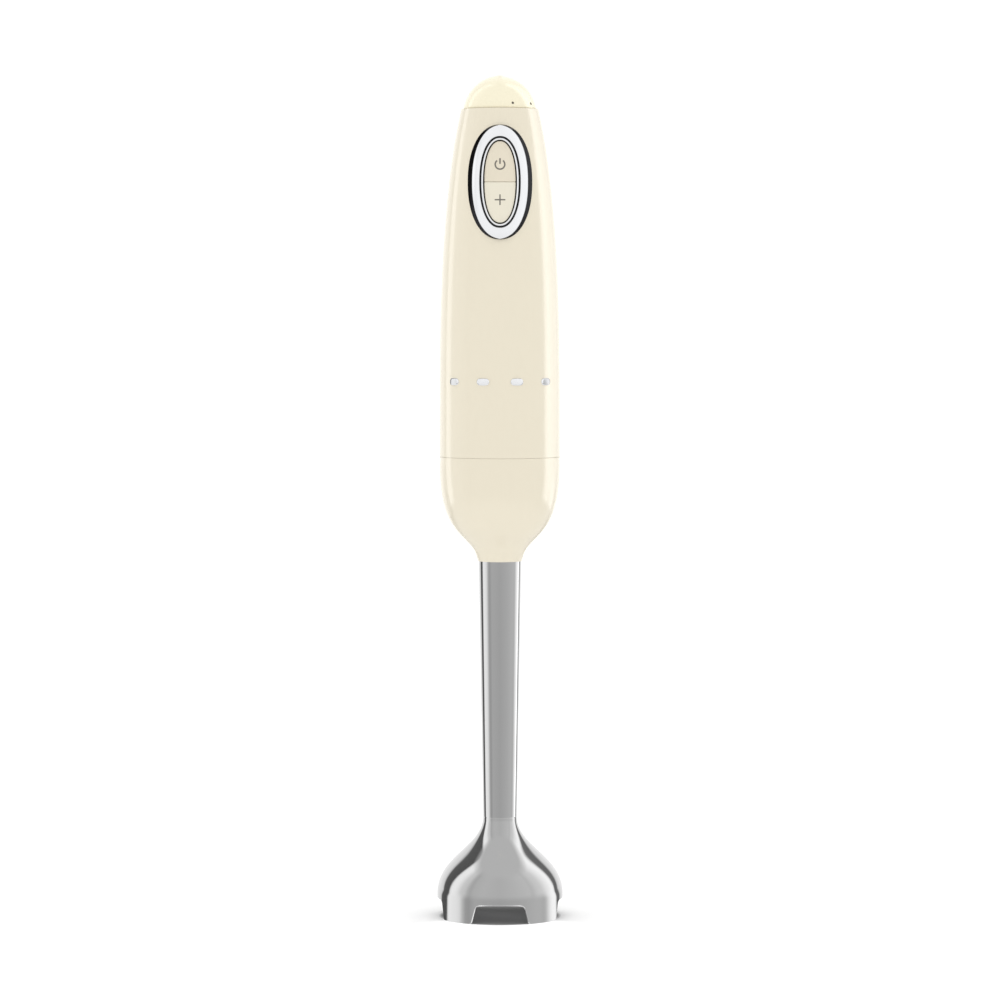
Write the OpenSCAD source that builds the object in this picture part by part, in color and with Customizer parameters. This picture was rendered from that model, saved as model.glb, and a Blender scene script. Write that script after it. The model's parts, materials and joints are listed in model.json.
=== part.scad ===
// Immersion blender with a detachable blending arm, standing on the rim of its blade guard.
// Millimetres. +Z runs up the tool, the buttons face -Y, and the origin is the centre of the guard's rim.

/* [Overall] */
// Height from the guard's rim to the joint between arm and handle
arm_h = 220; // [218:0.5:222]
// Length of the handle's shells, from that joint to the speed dial
handle_h = 165; // [164:0.5:166]
// Widest outer radius of the handle and of the arm's collar
handle_r = 29; // [28.5:0.25:30]
// Wall thickness of the moulded shells
shell_wall = 2.4; // [2:0.1:2.5]

/* [Blending arm] */
// Outer radius of the blade guard where it swells most
guard_r = 30; // [29.5:0.25:32]
// Thickness of the guard's drawn steel
guard_wall = 1.2; // [1:0.1:1.4]
// Height of the four windows in the guard's rim
window_h = 9.2; // [8:0.2:10]
// Outer radius of the steel tube where it leaves the collar
tube_top_r = 10.1; // [10:0.05:10.2]
// Outer radius of the steel tube where the guard starts
tube_foot_r = 8; // [7.9:0.05:8.1]
// Radius of the blade, from its axis to a tip
blade_r = 20.5; // [18:0.5:21]

/* [Buttons] */
// Half width of the chrome bezel, seen from the front
bezel_w = 15.2; // [14.8:0.2:15.6]
// Half height of the chrome bezel
bezel_h = 27; // [26.6:0.2:27.4]
// How far a button travels when it is pressed
button_travel = 1.2; // [0.8:0.1:1.3]

/* [Dial and cord] */
// Radius of the speed dial at its lower edge
dial_r = 17.5; // [17:0.1:17.6]
// Height of the speed dial's dome
dial_h = 16; // [15:0.5:17]
// Radius of the hole that the cord's gland leaves open
cord_hole_r = 3.6; // [3:0.1:3.8]

/* [Hidden] */
$fn = 96;

// Colours
cream = [0.92, 0.88, 0.79];
button_cream = [0.88, 0.84, 0.76];
chrome = [0.85, 0.86, 0.88];
steel = [0.70, 0.71, 0.73];
lamination = [0.45, 0.46, 0.48];
copper = [0.72, 0.42, 0.22];
brass = [0.80, 0.66, 0.35];
bronze = [0.66, 0.50, 0.30];
carbon = [0.15, 0.15, 0.16];
black = [0.10, 0.10, 0.11];
rubber = [0.14, 0.14, 0.14];
nylon = [0.90, 0.90, 0.88];
board_green = [0.10, 0.36, 0.20];
blue = [0.15, 0.30, 0.60];

gap = 0.05;             // clearance of a running or a push fit
joint_gap = 0.4;        // visible joint between the arm and the handle, and under the dial
dial_z = arm_h + handle_h + joint_gap;

// Handle outline: straight at first, then curving in to the dial
wide_z = arm_h + 20;    // the handle is a plain cylinder below this height
taper_run = 178;        // length over which the curve would close to a point
taper_power = 2.6;

// Button block
block_z = arm_h + 130.2;   // middle of the bezel
aperture_w = bezel_w - 3.8;
aperture_h = bezel_h - 3.7;
lip_w = bezel_w - 5.9;     // inner edge of the chrome band
lip_h = bezel_h - 5.8;
frame_wall = 1;
button_w = lip_w - frame_wall - 0.45;
button_h = lip_h - frame_wall - 0.75;
button_gap = 0.5;          // between the two buttons
button_back_y = -18.9;     // plane in which both button caps end
carrier_y = -13.4;         // front face of the plate behind the buttons
board_y = -1.6;            // front face of the circuit board
stem_z = 9.9;              // each button's stem, above or below the middle of the bezel
post_x = 13;
post_z = 13.5;             // screw posts, above and below the middle of the bezel

// Motor, measured from the joint between arm and handle
stack_z = arm_h + 39;      // underside of the field core
stack_h = 34;
field_r = 22;
yoke_r = 18.5;             // inner radius of the field's yoke
pole_r = 13.2;
armature_r = 12.7;
shaft_r = 3.5;
journal_r = 2.5;
low_bracket_z = arm_h + 18;
top_bracket_z = arm_h + 95;
commutator_z = arm_h + 81;
brush_z = commutator_z + 6;
bolt_r = 20.3;             // the long screws' distance from the axis
top_rim_r = 22;            // outer radius of each end bracket, inside its rubber ring
low_rim_r = 22.5;
coupling_z = arm_h + 2.5;  // lower end of the motor's coupling

// Bayonet
spigot_r = 21.2;
spigot_h = 12;
lug_angle = 22;
lug_r = 23.3;
twist = 30;                // turn between locked and free
deck_z = arm_h + 12.5;

// Blade end of the arm
tube_foot_z = 48;
collar_foot_z = arm_h - 49.5;
spindle_r = 3;
blade_z = 10;

// ---- Curves --------------------------------------------------------------------------------

// Point at t on a cubic curve with four control points
function cubic(p, t) =
    pow(1 - t, 3) * p[0] + 3 * pow(1 - t, 2) * t * p[1] + 3 * (1 - t) * t * t * p[2] + t * t * t * p[3];

function cubic_path(p, n) = [for (i = [0:n]) cubic(p, i / n)];

function arc(centre, r, from, to, n = 6) =
    [for (i = [0:n]) let (a = from + (to - from) * i / n) centre + r * [cos(a), sin(a)]];

function reversed(list) = [for (i = [len(list) - 1:-1:0]) list[i]];

// A little squarer than an ellipse, as the bezel and its buttons are
function soft_power(x, p) = sign(x) * pow(abs(x), p);
function oval(w, h, n = 72, p = 0.91) =
    [for (i = [0:n - 1]) let (a = 360 * i / n) [w * soft_power(cos(a), p), h * soft_power(sin(a), p)]];

function handle_radius(z) = handle_r * sqrt(1 - pow(max(0, (z - wide_z) / taper_run), taper_power));

function handle_side(z0, z1, grow, n) =
    [for (i = [0:n]) let (z = z0 + (z1 - z0) * i / n) [handle_radius(z) + grow, z]];

collar_curve = [[handle_r - 0.1, arm_h - 0.1], [handle_r + 1, arm_h - 41.5], [13, arm_h - 35.5],
                [tube_top_r + 0.6, collar_foot_z]];
collar_inside = [[handle_r - 2.6, arm_h - 3], [handle_r - 1.6, arm_h - 38], [12, arm_h - 32],
                 [tube_top_r + 0.2, arm_h - 43]];
guard_curve = [[tube_foot_r, tube_foot_z], [tube_foot_r, 33.5], [guard_r - 1, 29], [guard_r, 12]];
guard_inside = [[tube_foot_r - 1.1, tube_foot_z], [tube_foot_r - 1.1, 32.6], [guard_r - guard_wall - 1.2, 28],
                [guard_r - guard_wall, 12]];

function tube_radius(z) =
    tube_foot_r + (tube_top_r - tube_foot_r) * min(1, (z - tube_foot_z) / (collar_foot_z - tube_foot_z));

// ---- Shared shapes -------------------------------------------------------------------------

module tube(r_out, r_in, z0, z1) {
    translate([0, 0, z0]) difference() {
        cylinder(r = r_out, h = z1 - z0);
        translate([0, 0, -1]) cylinder(r = r_in, h = z1 - z0 + 2);
    }
}

module sector(r_in, r_out, from, to, z0, z1) {
    rotate([0, 0, from]) rotate_extrude(angle = to - from)
        translate([r_in, z0]) square([r_out - r_in, z1 - z0]);
}

// A band that follows the handle's side, from one offset of its outline to another
module handle_band(z0, z1, inner, outer, n = 12) {
    rotate_extrude() polygon(concat(handle_side(z0, z1, outer, n), reversed(handle_side(z0, z1, inner, n))));
}

// An oval prism through the front of the handle, from y0 (outside) to y1 (inside)
module oval_prism(w, h, y0, y1) {
    translate([0, y1, block_z]) rotate([90, 0, 0]) linear_extrude(y1 - y0) polygon(oval(w, h));
}

module rod_y(x, z, r, y0, y1) {
    translate([x, y1, z]) rotate([90, 0, 0]) cylinder(r = r, h = y1 - y0);
}

// A round wire wound on a helix along +Z: rings of points, joined by faces that functions work out
function helix_rings(coil_r, wire_r, length, turns, sides, per_turn) =
    [for (i = [0:turns * per_turn], k = [0:sides - 1])
        let (a = 360 * i / per_turn, t = i / (turns * per_turn), b = 360 * k / sides,
             r = coil_r + wire_r * cos(b), z = wire_r + (length - 2 * wire_r) * t + wire_r * sin(b))
        [r * cos(a), r * sin(a), z]];

function helix_faces(rings, sides) = concat(
    [[for (k = [0:sides - 1]) k]],
    [for (i = [0:rings - 2], k = [0:sides - 1])
        [i * sides + k, (i + 1) * sides + k, (i + 1) * sides + (k + 1) % sides, i * sides + (k + 1) % sides]],
    [[for (k = [sides - 1:-1:0]) (rings - 1) * sides + k]]);

module coil_spring(coil_r, wire_r, length, turns, sides = 8, per_turn = 14) {
    polyhedron(points = helix_rings(coil_r, wire_r, length, turns, sides, per_turn),
               faces = helix_faces(turns * per_turn + 1, sides), convexity = 6);
}

module screw_y(x, z, head_y, length, r, head_r, head_h) {
    rod_y(x, z, head_r, head_y, head_y + head_h);
    rod_y(x, z, r, head_y - length, head_y + head_h / 2);
}

// ---- Handle shells and what is set in them -------------------------------------------------

// Half of the handle's tube, with the ribs that hold the bayonet socket, the motor's rubber
// rings and the dial's base
module half_shell() {
    z0 = arm_h + joint_gap;
    z1 = arm_h + handle_h;
    rotate_extrude(angle = 180) {
        polygon(concat(handle_side(z0, z1, 0, 28), reversed(handle_side(z0, z1, -shell_wall, 28))));
        shell_rib(arm_h + 5.1, arm_h + 6.9, 25.25);
        shell_rib(low_bracket_z - 1.6, low_bracket_z - 0.2, 24.2);
        shell_rib(low_bracket_z + 5.2, low_bracket_z + 6.6, 24.2);
        shell_rib(top_bracket_z - 1.6, top_bracket_z - 0.1, 22.8);
        shell_rib(top_bracket_z - 0.2, top_bracket_z + 5.2, 23.5);
        shell_rib(top_bracket_z + 5.1, top_bracket_z + 6.6, 22.8);
        shell_rib(z1 - 4.4, z1 - 3, 14.6);
    }
}

module shell_rib(z0, z1, r_in) {
    polygon(concat([[r_in, z1], [r_in, z0]], handle_side(z0, z1, -shell_wall / 2, 2)));
}

// Solid within the handle's outline, to which posts inside the shells are trimmed
module handle_core(z0, z1, grow) {
    rotate_extrude() polygon(concat([[0, z1], [0, z0]], handle_side(z0, z1, grow, 10)));
}

module trim_outline(grow = 0) {
    square([4, 2.2 + 2 * grow], center = true);
    for (side = [-1, 1]) translate([side * 2, 0]) circle(r = 1.1 + grow);
}

module trim_pieces(grow, inner, outer) {
    for (a = [-48, -16, 16, 48]) rotate([0, 0, a]) intersection() {
        translate([0, -20, arm_h + 36.4]) rotate([90, 0, 0]) linear_extrude(15) trim_outline(grow);
        tube(outer, inner, arm_h + 30, arm_h + 43);
    }
}

shell_screw_x = 16;
shell_screw_z = arm_h + 106;

module front_shell() {
    color(cream) difference() {
        union() {
            rotate([0, 0, 180]) half_shell();
            intersection() {
                handle_core(block_z - 30, block_z + 20, -0.7);
                for (side = [-1, 1]) {
                    for (up = [-1, 1]) rod_y(side * post_x, block_z + up * post_z, 2.3, -30, carrier_y - gap);
                    rod_y(side * shell_screw_x, shell_screw_z, 2.8, -30, 0);
                }
            }
        }
        oval_prism(aperture_w, aperture_h, -40, -10);
        trim_pieces(gap, handle_r - 0.8, handle_r + 5);
        for (side = [-1, 1]) {
            for (up = [-1, 1]) rod_y(side * post_x, block_z + up * post_z, 1.15, -17, 0);
            rod_y(side * shell_screw_x, shell_screw_z, 1.45, -14, 1);
        }
    }
}

gland_z = arm_h + 147;
vent_angles = [35, 45, 55, 65, 115, 125, 135, 145];

module rear_shell() {
    color(cream) difference() {
        union() {
            half_shell();
            rod_y(0, gland_z, 8.2, 15, 24.4);
            intersection() {
                handle_core(block_z - 30, block_z, -0.7);
                for (side = [-1, 1]) rod_y(side * shell_screw_x, shell_screw_z, 4.2, 0, 30);
            }
        }
        rod_y(0, gland_z, 5.25, 10, 30);
        for (side = [-1, 1]) {
            rod_y(side * shell_screw_x, shell_screw_z, 1.6, -1, 30);
            rod_y(side * shell_screw_x, shell_screw_z, 2.9, 8, 30);
        }
        // Outlet slots beside the fan
        for (a = vent_angles) rotate([0, 0, a]) translate([20, 0, low_bracket_z + 12.7])
            rotate([0, 90, 0]) linear_extrude(15) {
                square([7.2, 1.8], center = true);
                for (end = [-3.6, 3.6]) translate([end, 0]) circle(r = 0.9);
            }
    }
}

// Chrome band round the buttons: a flange that lies on the shell, and a skirt down through it
module bezel() {
    color(chrome) union() {
        intersection() {
            oval_prism(bezel_w - 0.5, bezel_h - 0.5, -40, -10);
            difference() {
                handle_band(block_z - 30, block_z + 30, 0.02, 1.6);
                oval_prism(lip_w, lip_h, -41, -9);
            }
        }
        intersection() {
            oval_prism(bezel_w, bezel_h, -40, -10);
            difference() {
                handle_band(block_z - 30, block_z + 30, 0.02, 1);
                oval_prism(lip_w, lip_h, -41, -9);
            }
        }
        intersection() {
            oval_prism(aperture_w - gap, aperture_h - gap, -40, -19.4);
            difference() {
                handle_band(block_z - 30, block_z + 30, -9, 1);
                oval_prism(lip_w, lip_h, -41, -9);
            }
        }
    }
}

module button_frame() {
    color(chrome) intersection() {
        difference() {
            oval_prism(lip_w - gap, lip_h - gap, -40, -19.4);
            oval_prism(lip_w - frame_wall, lip_h - frame_wall, -41, -9);
        }
        handle_band(block_z - 30, block_z + 30, -9, 1.1);
    }
}

// Plate behind the buttons, on which their springs rest, with standoffs for the circuit board
module button_carrier() {
    color(black) difference() {
        union() {
            translate([-14.8, carrier_y, block_z - 17]) cube([29.6, 1.4, 30.6]);
            for (side = [-1, 1], up = [-1, 1])
                rod_y(side * post_x, block_z + up * post_z, 2, carrier_y, board_y);
        }
        for (side = [-1, 1], up = [-1, 1]) {
            rod_y(side * post_x, block_z + up * post_z, 1.25, -20, 0);
            rod_y(0, block_z + up * stem_z, 2.2, -20, 0);
        }
    }
}

module front_trim() {
    color(chrome) trim_pieces(0, handle_r - 0.75, handle_r + 0.55);
}

// ---- Electronics ---------------------------------------------------------------------------

module control_board() {
    color(board_green) difference() {
        translate([-15.5, board_y, block_z - 20.4]) cube([31, 1.6, 38]);
        for (side = [-1, 1], up = [-1, 1]) rod_y(side * post_x, block_z + up * post_z, 1.25, -20, 10);
    }
}

module micro_switches() {
    color(black) for (up = [-1, 1]) difference() {
        translate([-2.9, board_y - 6.5, block_z + up * stem_z - 6.4]) cube([5.8, 6.5, 12.8]);
        rod_y(0, block_z + up * stem_z, 1.35, board_y - 8, board_y - 3.7 + button_travel);
    }
}

module mains_capacitor() {
    color(blue) translate([-10, board_y + 1.6, block_z - 19]) cube([12, 7, 14]);
}

module triac() {
    color(black) translate([4, board_y + 1.6, block_z - 5]) cube([10, 4.4, 15]);
}

module heatsink() {
    color(steel) translate([2, board_y + 6, block_z - 8]) union() {
        cube([14, 1.6, 19]);
        for (i = [0:4]) translate([0.6 + i * 2.95, 1.2, 0]) cube([1, 6, 19]);
    }
}

pot_z = arm_h + 151.5;

module dial_base() {
    color(black) difference() {
        tube(15.4, 3.65, dial_z - 6.2, dial_z - 2.3);
        tube(20, 14.5, dial_z - 4.85, dial_z - 3.3);
    }
}

module potentiometer() {
    color(steel) difference() {
        union() {
            translate([0, 0, pot_z]) cylinder(r = 8, h = dial_z - 6.25 - pot_z);
            translate([0, 0, pot_z + 1]) cylinder(r = 3.6, h = dial_z - 0.3 - pot_z - 1);
        }
        translate([0, 0, pot_z + 1.5]) cylinder(r = 3 + gap, h = 30);
    }
}

module potentiometer_nut() {
    color(steel) difference() {
        translate([0, 0, dial_z - 2.25]) cylinder(r = 6, h = 1.9, $fn = 6);
        translate([0, 0, dial_z - 4]) cylinder(r = 3.65, h = 5);
    }
}

// Rubber gland that lines the hole for the mains cord
module cord_gland() {
    color(rubber) difference() {
        union() {
            rod_y(0, gland_z, 5.2, 13.2, 26);
            rod_y(0, gland_z, 6.4, 13.2, 14.9);
            rod_y(0, gland_z, 7.2, 24.5, 26.2);
        }
        rod_y(0, gland_z, cord_hole_r, 12, 28);
    }
}

// ---- Speed dial ----------------------------------------------------------------------------

dome_run = 2.6;   // the dome's ellipse is centred this far below its lower edge
function dome_radius(z, grow) =
    let (b = dial_h + dome_run + grow, a = (dial_r + grow) / sqrt(1 - pow(dome_run / b, 2)))
    a * sqrt(max(0, 1 - pow((z - dial_z + dome_run) / b, 2)));

function dome_side(grow, n = 16) =
    [for (i = [0:n]) let (top = dial_h + grow, z = dial_z + top * sin(90 * i / n)) [dome_radius(z, grow), z]];

// Bore of the dial's hub, and the end of the spindle: round with one flat
module spindle_end(r, flat, z0, z1) {
    difference() {
        translate([0, 0, z0]) cylinder(r = r, h = z1 - z0);
        translate([flat, -5, z0 - 1]) cube([5, 10, z1 - z0 + 2]);
    }
}

module speed_dial() {
    wall = 2;
    color(cream) difference() {
        union() {
            rotate_extrude() polygon(concat(dome_side(0), reversed(dome_side(-wall))));
            tube(14.6, 13.2, dial_z - 2.2, dial_z + 3);
            tube(dial_r - 1, 13.2, dial_z, dial_z + 1.5);
            translate([0, 0, dial_z + 1.5]) cylinder(r = 5.4, h = dial_h - wall - 1.2);
            for (a = [0:60:300]) rotate([0, 0, a])
                translate([5, -0.6, dial_z + 4]) cube([7.5, 1.2, 5.5]);
        }
        spindle_end(3 + gap, 2 + gap, dial_z + 1, dial_z + 11.2);
    }
}

module dial_spindle() {
    color(brass) union() {
        translate([0, 0, pot_z + 1.6]) cylinder(r = 3, h = dial_z + 1 - pot_z - 1.6);
        spindle_end(3, 2, dial_z + 1, dial_z + 11);
    }
}

// ---- Buttons -------------------------------------------------------------------------------

// One half of the oval, seen from the front; up is 1 for the upper button and -1 for the lower
module half_oval(w, h, y0, y1, up, split) {
    intersection() {
        oval_prism(w, h, y0, y1);
        translate([-20, y0 - 1, up > 0 ? block_z + split : block_z - 40 - split]) cube([40, y1 - y0 + 2, 40]);
    }
}

function stem_height(up) = block_z + up * stem_z;
function seat_y(up) = 2.2 - handle_radius(stem_height(up) + 4.4);   // flat on which the spring bears

// A hollow cap with a stem, a seat for its spring, and two tabs that catch behind the frame
module button(up) {
    split = button_gap / 2;
    wall = 1.5;
    intersection() {
        union() {
            difference() {
                half_oval(button_w, button_h, -40, button_back_y, up, split);
                intersection() {
                    half_oval(button_w - wall, button_h - wall, -40, button_back_y + 1, up, split + wall);
                    handle_band(block_z - 30, block_z + 30, -15, -wall);
                }
            }
            rod_y(0, stem_height(up), 4.3, -40, seat_y(up));
            rod_y(0, stem_height(up), 1.9, -40, board_y - 7.9);
            for (side = [-1, 1]) translate([side * 6.85 - 1.45, -19.35, stem_height(up) - 2]) cube([2.9, 1.4, 4]);
        }
        handle_band(block_z - 30, block_z + 30, -17, 0.2);
    }
}
module power_button() { color(button_cream) button(1); }
module turbo_button() { color(button_cream) button(-1); }

module plunger(up) { color(nylon) rod_y(0, stem_height(up), 1.2, board_y - 7.85, board_y - 4); }
module power_plunger() { plunger(1); }
module turbo_plunger() { plunger(-1); }

module button_spring(up) {
    color(steel) translate([0, carrier_y - 0.02, stem_height(up)]) rotate([90, 0, 0])
        coil_spring(3, 0.35, carrier_y - seat_y(up) - 0.04, 5);
}
module power_spring() { button_spring(1); }
module turbo_spring() { button_spring(-1); }

// ---- Motor ---------------------------------------------------------------------------------

module motor_shaft() {
    color(steel) union() {
        translate([0, 0, coupling_z + 8.5]) cylinder(r = journal_r, h = top_bracket_z + 5.5 - coupling_z - 8.5);
        translate([0, 0, low_bracket_z + 7]) cylinder(r = shaft_r, h = top_bracket_z - 2.5 - low_bracket_z - 7);
    }
}

slots = 12;

module armature_core() {
    color(lamination) translate([0, 0, stack_z]) linear_extrude(stack_h) difference() {
        circle(r = armature_r);
        circle(r = shaft_r);
        for (i = [0:slots - 1]) rotate(360 * i / slots) translate([6.4, 0]) {
            translate([0, -1.1]) square([5, 2.2]);
            translate([4, -0.5]) square([4, 1]);
        }
    }
}

module armature_winding() {
    color(copper) union() {
        for (i = [0:slots - 1]) rotate([0, 0, 360 * i / slots])
            translate([6.5, -1, stack_z - 3]) cube([4.6, 2, stack_h + 6]);
        for (z0 = [stack_z - 5.6, stack_z + stack_h + 0.1]) translate([0, 0, z0]) rotate_extrude()
            polygon(concat([[4, 0], [9.5, 0]], arc([9.5, 2.75], 2.75, -90, 90, 8), [[4, 5.5]]));
    }
}

module commutator() {
    bars = 24;
    color(brass) difference() {
        tube(9.5, shaft_r, commutator_z, commutator_z + 12);
        for (i = [0:bars - 1]) rotate([0, 0, 360 * i / bars])
            translate([8.4, -0.2, commutator_z - 1]) cube([3, 0.4, 14]);
    }
}

module cooling_fan() {
    blades = 9;
    z0 = low_bracket_z + 8.2;
    color(nylon) union() {
        tube(17, shaft_r, z0, z0 + 1.4);
        tube(6, shaft_r, z0, z0 + 6);
        for (i = [0:blades - 1]) rotate([0, 0, 360 * i / blades])
            translate([5.6, -3, z0 + 1.2]) rotate([0, 0, 24]) cube([11.3, 1.1, 4.8]);
    }
}

module field_core() {
    color(lamination) translate([0, 0, stack_z]) linear_extrude(stack_h) difference() {
        circle(r = field_r);
        circle(r = pole_r);
        for (side = [0, 180]) rotate(side) difference() {
            circle(r = yoke_r);
            circle(r = pole_r - 1);
            rotate(45) translate([-30, 0]) square([60, 60]);
            rotate(-45) translate([-30, -60]) square([60, 60]);
        }
        for (a = [45, 225]) rotate(a) translate([bolt_r, 0]) circle(r = 1.35);
    }
}

// Each coil runs up one side of its pole, over the end of the stack, and down the other
module field_coils() {
    color(copper) for (pole = [0, 180]) rotate([0, 0, pole]) union() {
        for (from = [1.5, 136.5]) sector(pole_r + 0.6, yoke_r - 0.3, from, from + 42, stack_z - 5, stack_z + stack_h + 5);
        for (z0 = [stack_z - 5.6, stack_z + stack_h + 0.6]) sector(14.2, yoke_r - 0.6, 3, 177, z0, z0 + 5);
    }
}

// An end bracket: hub, ring, four spokes, and four posts that stand against the field core
module bracket(z, rim_r, hub_h, post_z0, post_z1) {
    difference() {
        union() {
            tube(rim_r, rim_r - 3.4, z, z + 5);
            translate([0, 0, z]) cylinder(r = 10.3, h = hub_h);
            children();
            for (a = [45, 135]) rotate([0, 0, a]) translate([-rim_r + 1, -2.6, z]) cube([2 * rim_r - 2, 5.2, 2.4]);
            for (a = [45:90:315]) sector(yoke_r + 0.2, field_r - 0.2, a - 9, a + 9, post_z0, post_z1);
        }
        for (a = [45, 225]) rotate([0, 0, a]) translate([bolt_r, 0, post_z0 - 1])
            cylinder(r = 1.35, h = post_z1 - post_z0 + 2);
    }
}

// The upper bracket's two arms hold the brush holders beside the commutator
module upper_bracket() {
    color(black) difference() {
        bracket(top_bracket_z, top_rim_r, 5.5, stack_z + stack_h + 0.05, top_bracket_z + 5)
            for (side = [0, 180]) rotate([0, 0, side])
                translate([12.6, -5, brush_z - 5.4]) cube([7.8, 10, top_bracket_z + 3 - brush_z + 5.4]);
        translate([0, 0, top_bracket_z - 1]) cylinder(r = 5 + gap, h = 10);
        for (side = [0, 180]) rotate([0, 0, side])
            translate([10, -3.55, brush_z - 4.05]) cube([13, 7.1, 8.1]);
    }
}

// The lower bracket carries the ball bearing, and takes the socket's screws in three bosses
module lower_bracket() {
    color(black) difference() {
        bracket(low_bracket_z, low_rim_r, 5.6, low_bracket_z, stack_z - 0.05)
            for (a = [90, 210, 330]) rotate([0, 0, a]) {
                translate([15.5, 0, low_bracket_z]) cylinder(r = 3, h = 5);
                translate([9, -1.2, low_bracket_z]) cube([11, 2.4, 3.4]);
            }
        translate([0, 0, low_bracket_z + 0.6]) cylinder(r = 8 + gap, h = 10);
        translate([0, 0, low_bracket_z - 1]) cylinder(r = 6, h = 10);
        for (a = [90, 210, 330]) rotate([0, 0, a]) translate([15.5, 0, low_bracket_z - 1]) cylinder(r = 1.35, h = 8);
    }
}

module motor_bolts() {
    color(steel) for (a = [45, 225]) rotate([0, 0, a]) translate([bolt_r, 0, 0]) {
        translate([0, 0, low_bracket_z + 2]) cylinder(r = 1.25, h = top_bracket_z + 5.5 - low_bracket_z - 2);
        translate([0, 0, top_bracket_z + 5.05]) cylinder(r = 2.2, h = 1.5);
    }
}

module brush_holders() {
    color(brass) for (side = [0, 180]) rotate([0, 0, side]) difference() {
        translate([11, -3.5, brush_z - 4]) cube([11, 7, 8]);
        translate([10, -2.6, brush_z - 3.1]) cube([11, 5.2, 6.2]);
    }
}

module carbon_brushes() {
    color(carbon) for (side = [0, 180]) rotate([0, 0, side])
        translate([9.6, -2.5, brush_z - 3]) cube([7.4, 5, 6]);
}

module brush_springs() {
    color(steel) for (side = [0, 180]) rotate([0, 0, side])
        translate([17.05, 0, brush_z]) rotate([0, 90, 0]) coil_spring(1.9, 0.25, 3.85, 4, 6, 12);
}

module motor_bush() {
    color(bronze) tube(5, journal_r + gap, top_bracket_z, top_bracket_z + 5);
}

module bearing_outer_race() {
    color(steel) difference() {
        tube(8, 6.4, low_bracket_z + 0.7, low_bracket_z + 5.5);
        translate([0, 0, low_bracket_z + 3.1]) rotate_extrude() translate([5.25, 0]) circle(r = 1.7);
    }
}

module bearing_inner_race() {
    balls = 7;
    color(steel) {
        difference() {
            tube(4.1, journal_r, low_bracket_z + 0.7, low_bracket_z + 5.5);
            translate([0, 0, low_bracket_z + 3.1]) rotate_extrude() translate([5.25, 0]) circle(r = 1.7);
        }
        for (i = [0:balls - 1]) rotate([0, 0, 360 * i / balls])
            translate([5.25, 0, low_bracket_z + 3.1]) sphere(r = 1.6);
    }
}

module upper_mount_ring() {
    color(rubber) tube(23.45, top_rim_r + gap, top_bracket_z, top_bracket_z + 5);
}
module lower_mount_ring() {
    color(rubber) tube(handle_r - shell_wall - gap, low_rim_r + gap, low_bracket_z, low_bracket_z + 5);
}

// ---- Coupling between motor and arm --------------------------------------------------------

function star(r, depth, lobes, n = 72) =
    [for (i = [0:n - 1]) let (a = 360 * i / n) (r + depth * cos(lobes * a)) * [cos(a), sin(a)]];

module drive_coupling() {
    color(black) difference() {
        union() {
            translate([0, 0, coupling_z]) cylinder(r = 8.2, h = 9);
            translate([0, 0, coupling_z]) cylinder(r = 6, h = 14);
        }
        translate([0, 0, coupling_z - 1]) linear_extrude(9) polygon(star(5.2, 0.9, 6));
        translate([0, 0, coupling_z]) cylinder(r = journal_r, h = 20);
    }
}

module driven_coupling() {
    z0 = arm_h - 5.5;
    color(nylon) difference() {
        union() {
            translate([0, 0, z0]) cylinder(r = 7.5, h = 5);
            translate([0, 0, z0]) linear_extrude(14.5) polygon(star(5.05, 0.9, 6));
        }
        translate([0, 0, z0 - 1]) cylinder(r = spindle_r, h = 13);
    }
}

// Ring at the handle's mouth, with a deck above it: three lugs of the arm enter its slots
module bayonet_socket() {
    ring_r = handle_r - shell_wall - 0.2;
    color(black) difference() {
        union() {
            tube(ring_r, spigot_r + 0.2, arm_h + joint_gap + 0.1, deck_z + 3);
            translate([0, 0, deck_z]) cylinder(r = ring_r - 1, h = 3);
        }
        tube(40, 25.1, arm_h + 5, arm_h + 7);
        translate([0, 0, deck_z - 1]) cylinder(r = 9.6, h = 10);
        for (a = [0:120:240]) {
            sector(spigot_r - 1, lug_r + 0.3, a - lug_angle / 2 - 1, a + twist + lug_angle / 2 + 1.5,
                   arm_h + 6.5, arm_h + 10.5);
            sector(spigot_r - 2, lug_r + 0.2, a + twist - lug_angle / 2 - 1, a + twist + lug_angle / 2 + 1,
                   arm_h - 1, arm_h + 8);
        }
        for (a = [90, 210, 330]) rotate([0, 0, a]) translate([15.5, 0, 0]) {
            translate([0, 0, deck_z - 1]) cylinder(r = 1.45, h = 6);
            translate([0, 0, deck_z - 1]) cylinder(r = 2.8, h = 2.4);
        }
    }
}

module socket_screws() {
    color(steel) for (a = [90, 210, 330]) rotate([0, 0, a]) translate([15.5, 0, 0]) {
        translate([0, 0, deck_z + 0.1]) cylinder(r = 2.6, h = 1.25);
        translate([0, 0, deck_z + 0.5]) cylinder(r = 1.3, h = 8);
    }
}

module shell_screws() {
    color(steel) for (side = [-1, 1]) screw_y(side * shell_screw_x, shell_screw_z, 8.05, 19, 1.4, 2.7, 1.75);
}

module board_screws() {
    color(steel) for (side = [-1, 1], up = [-1, 1])
        screw_y(side * post_x, block_z + up * post_z, 0.05, 16.2, 1.1, 2, 1.3);
}

// ---- Blending arm --------------------------------------------------------------------------

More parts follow.
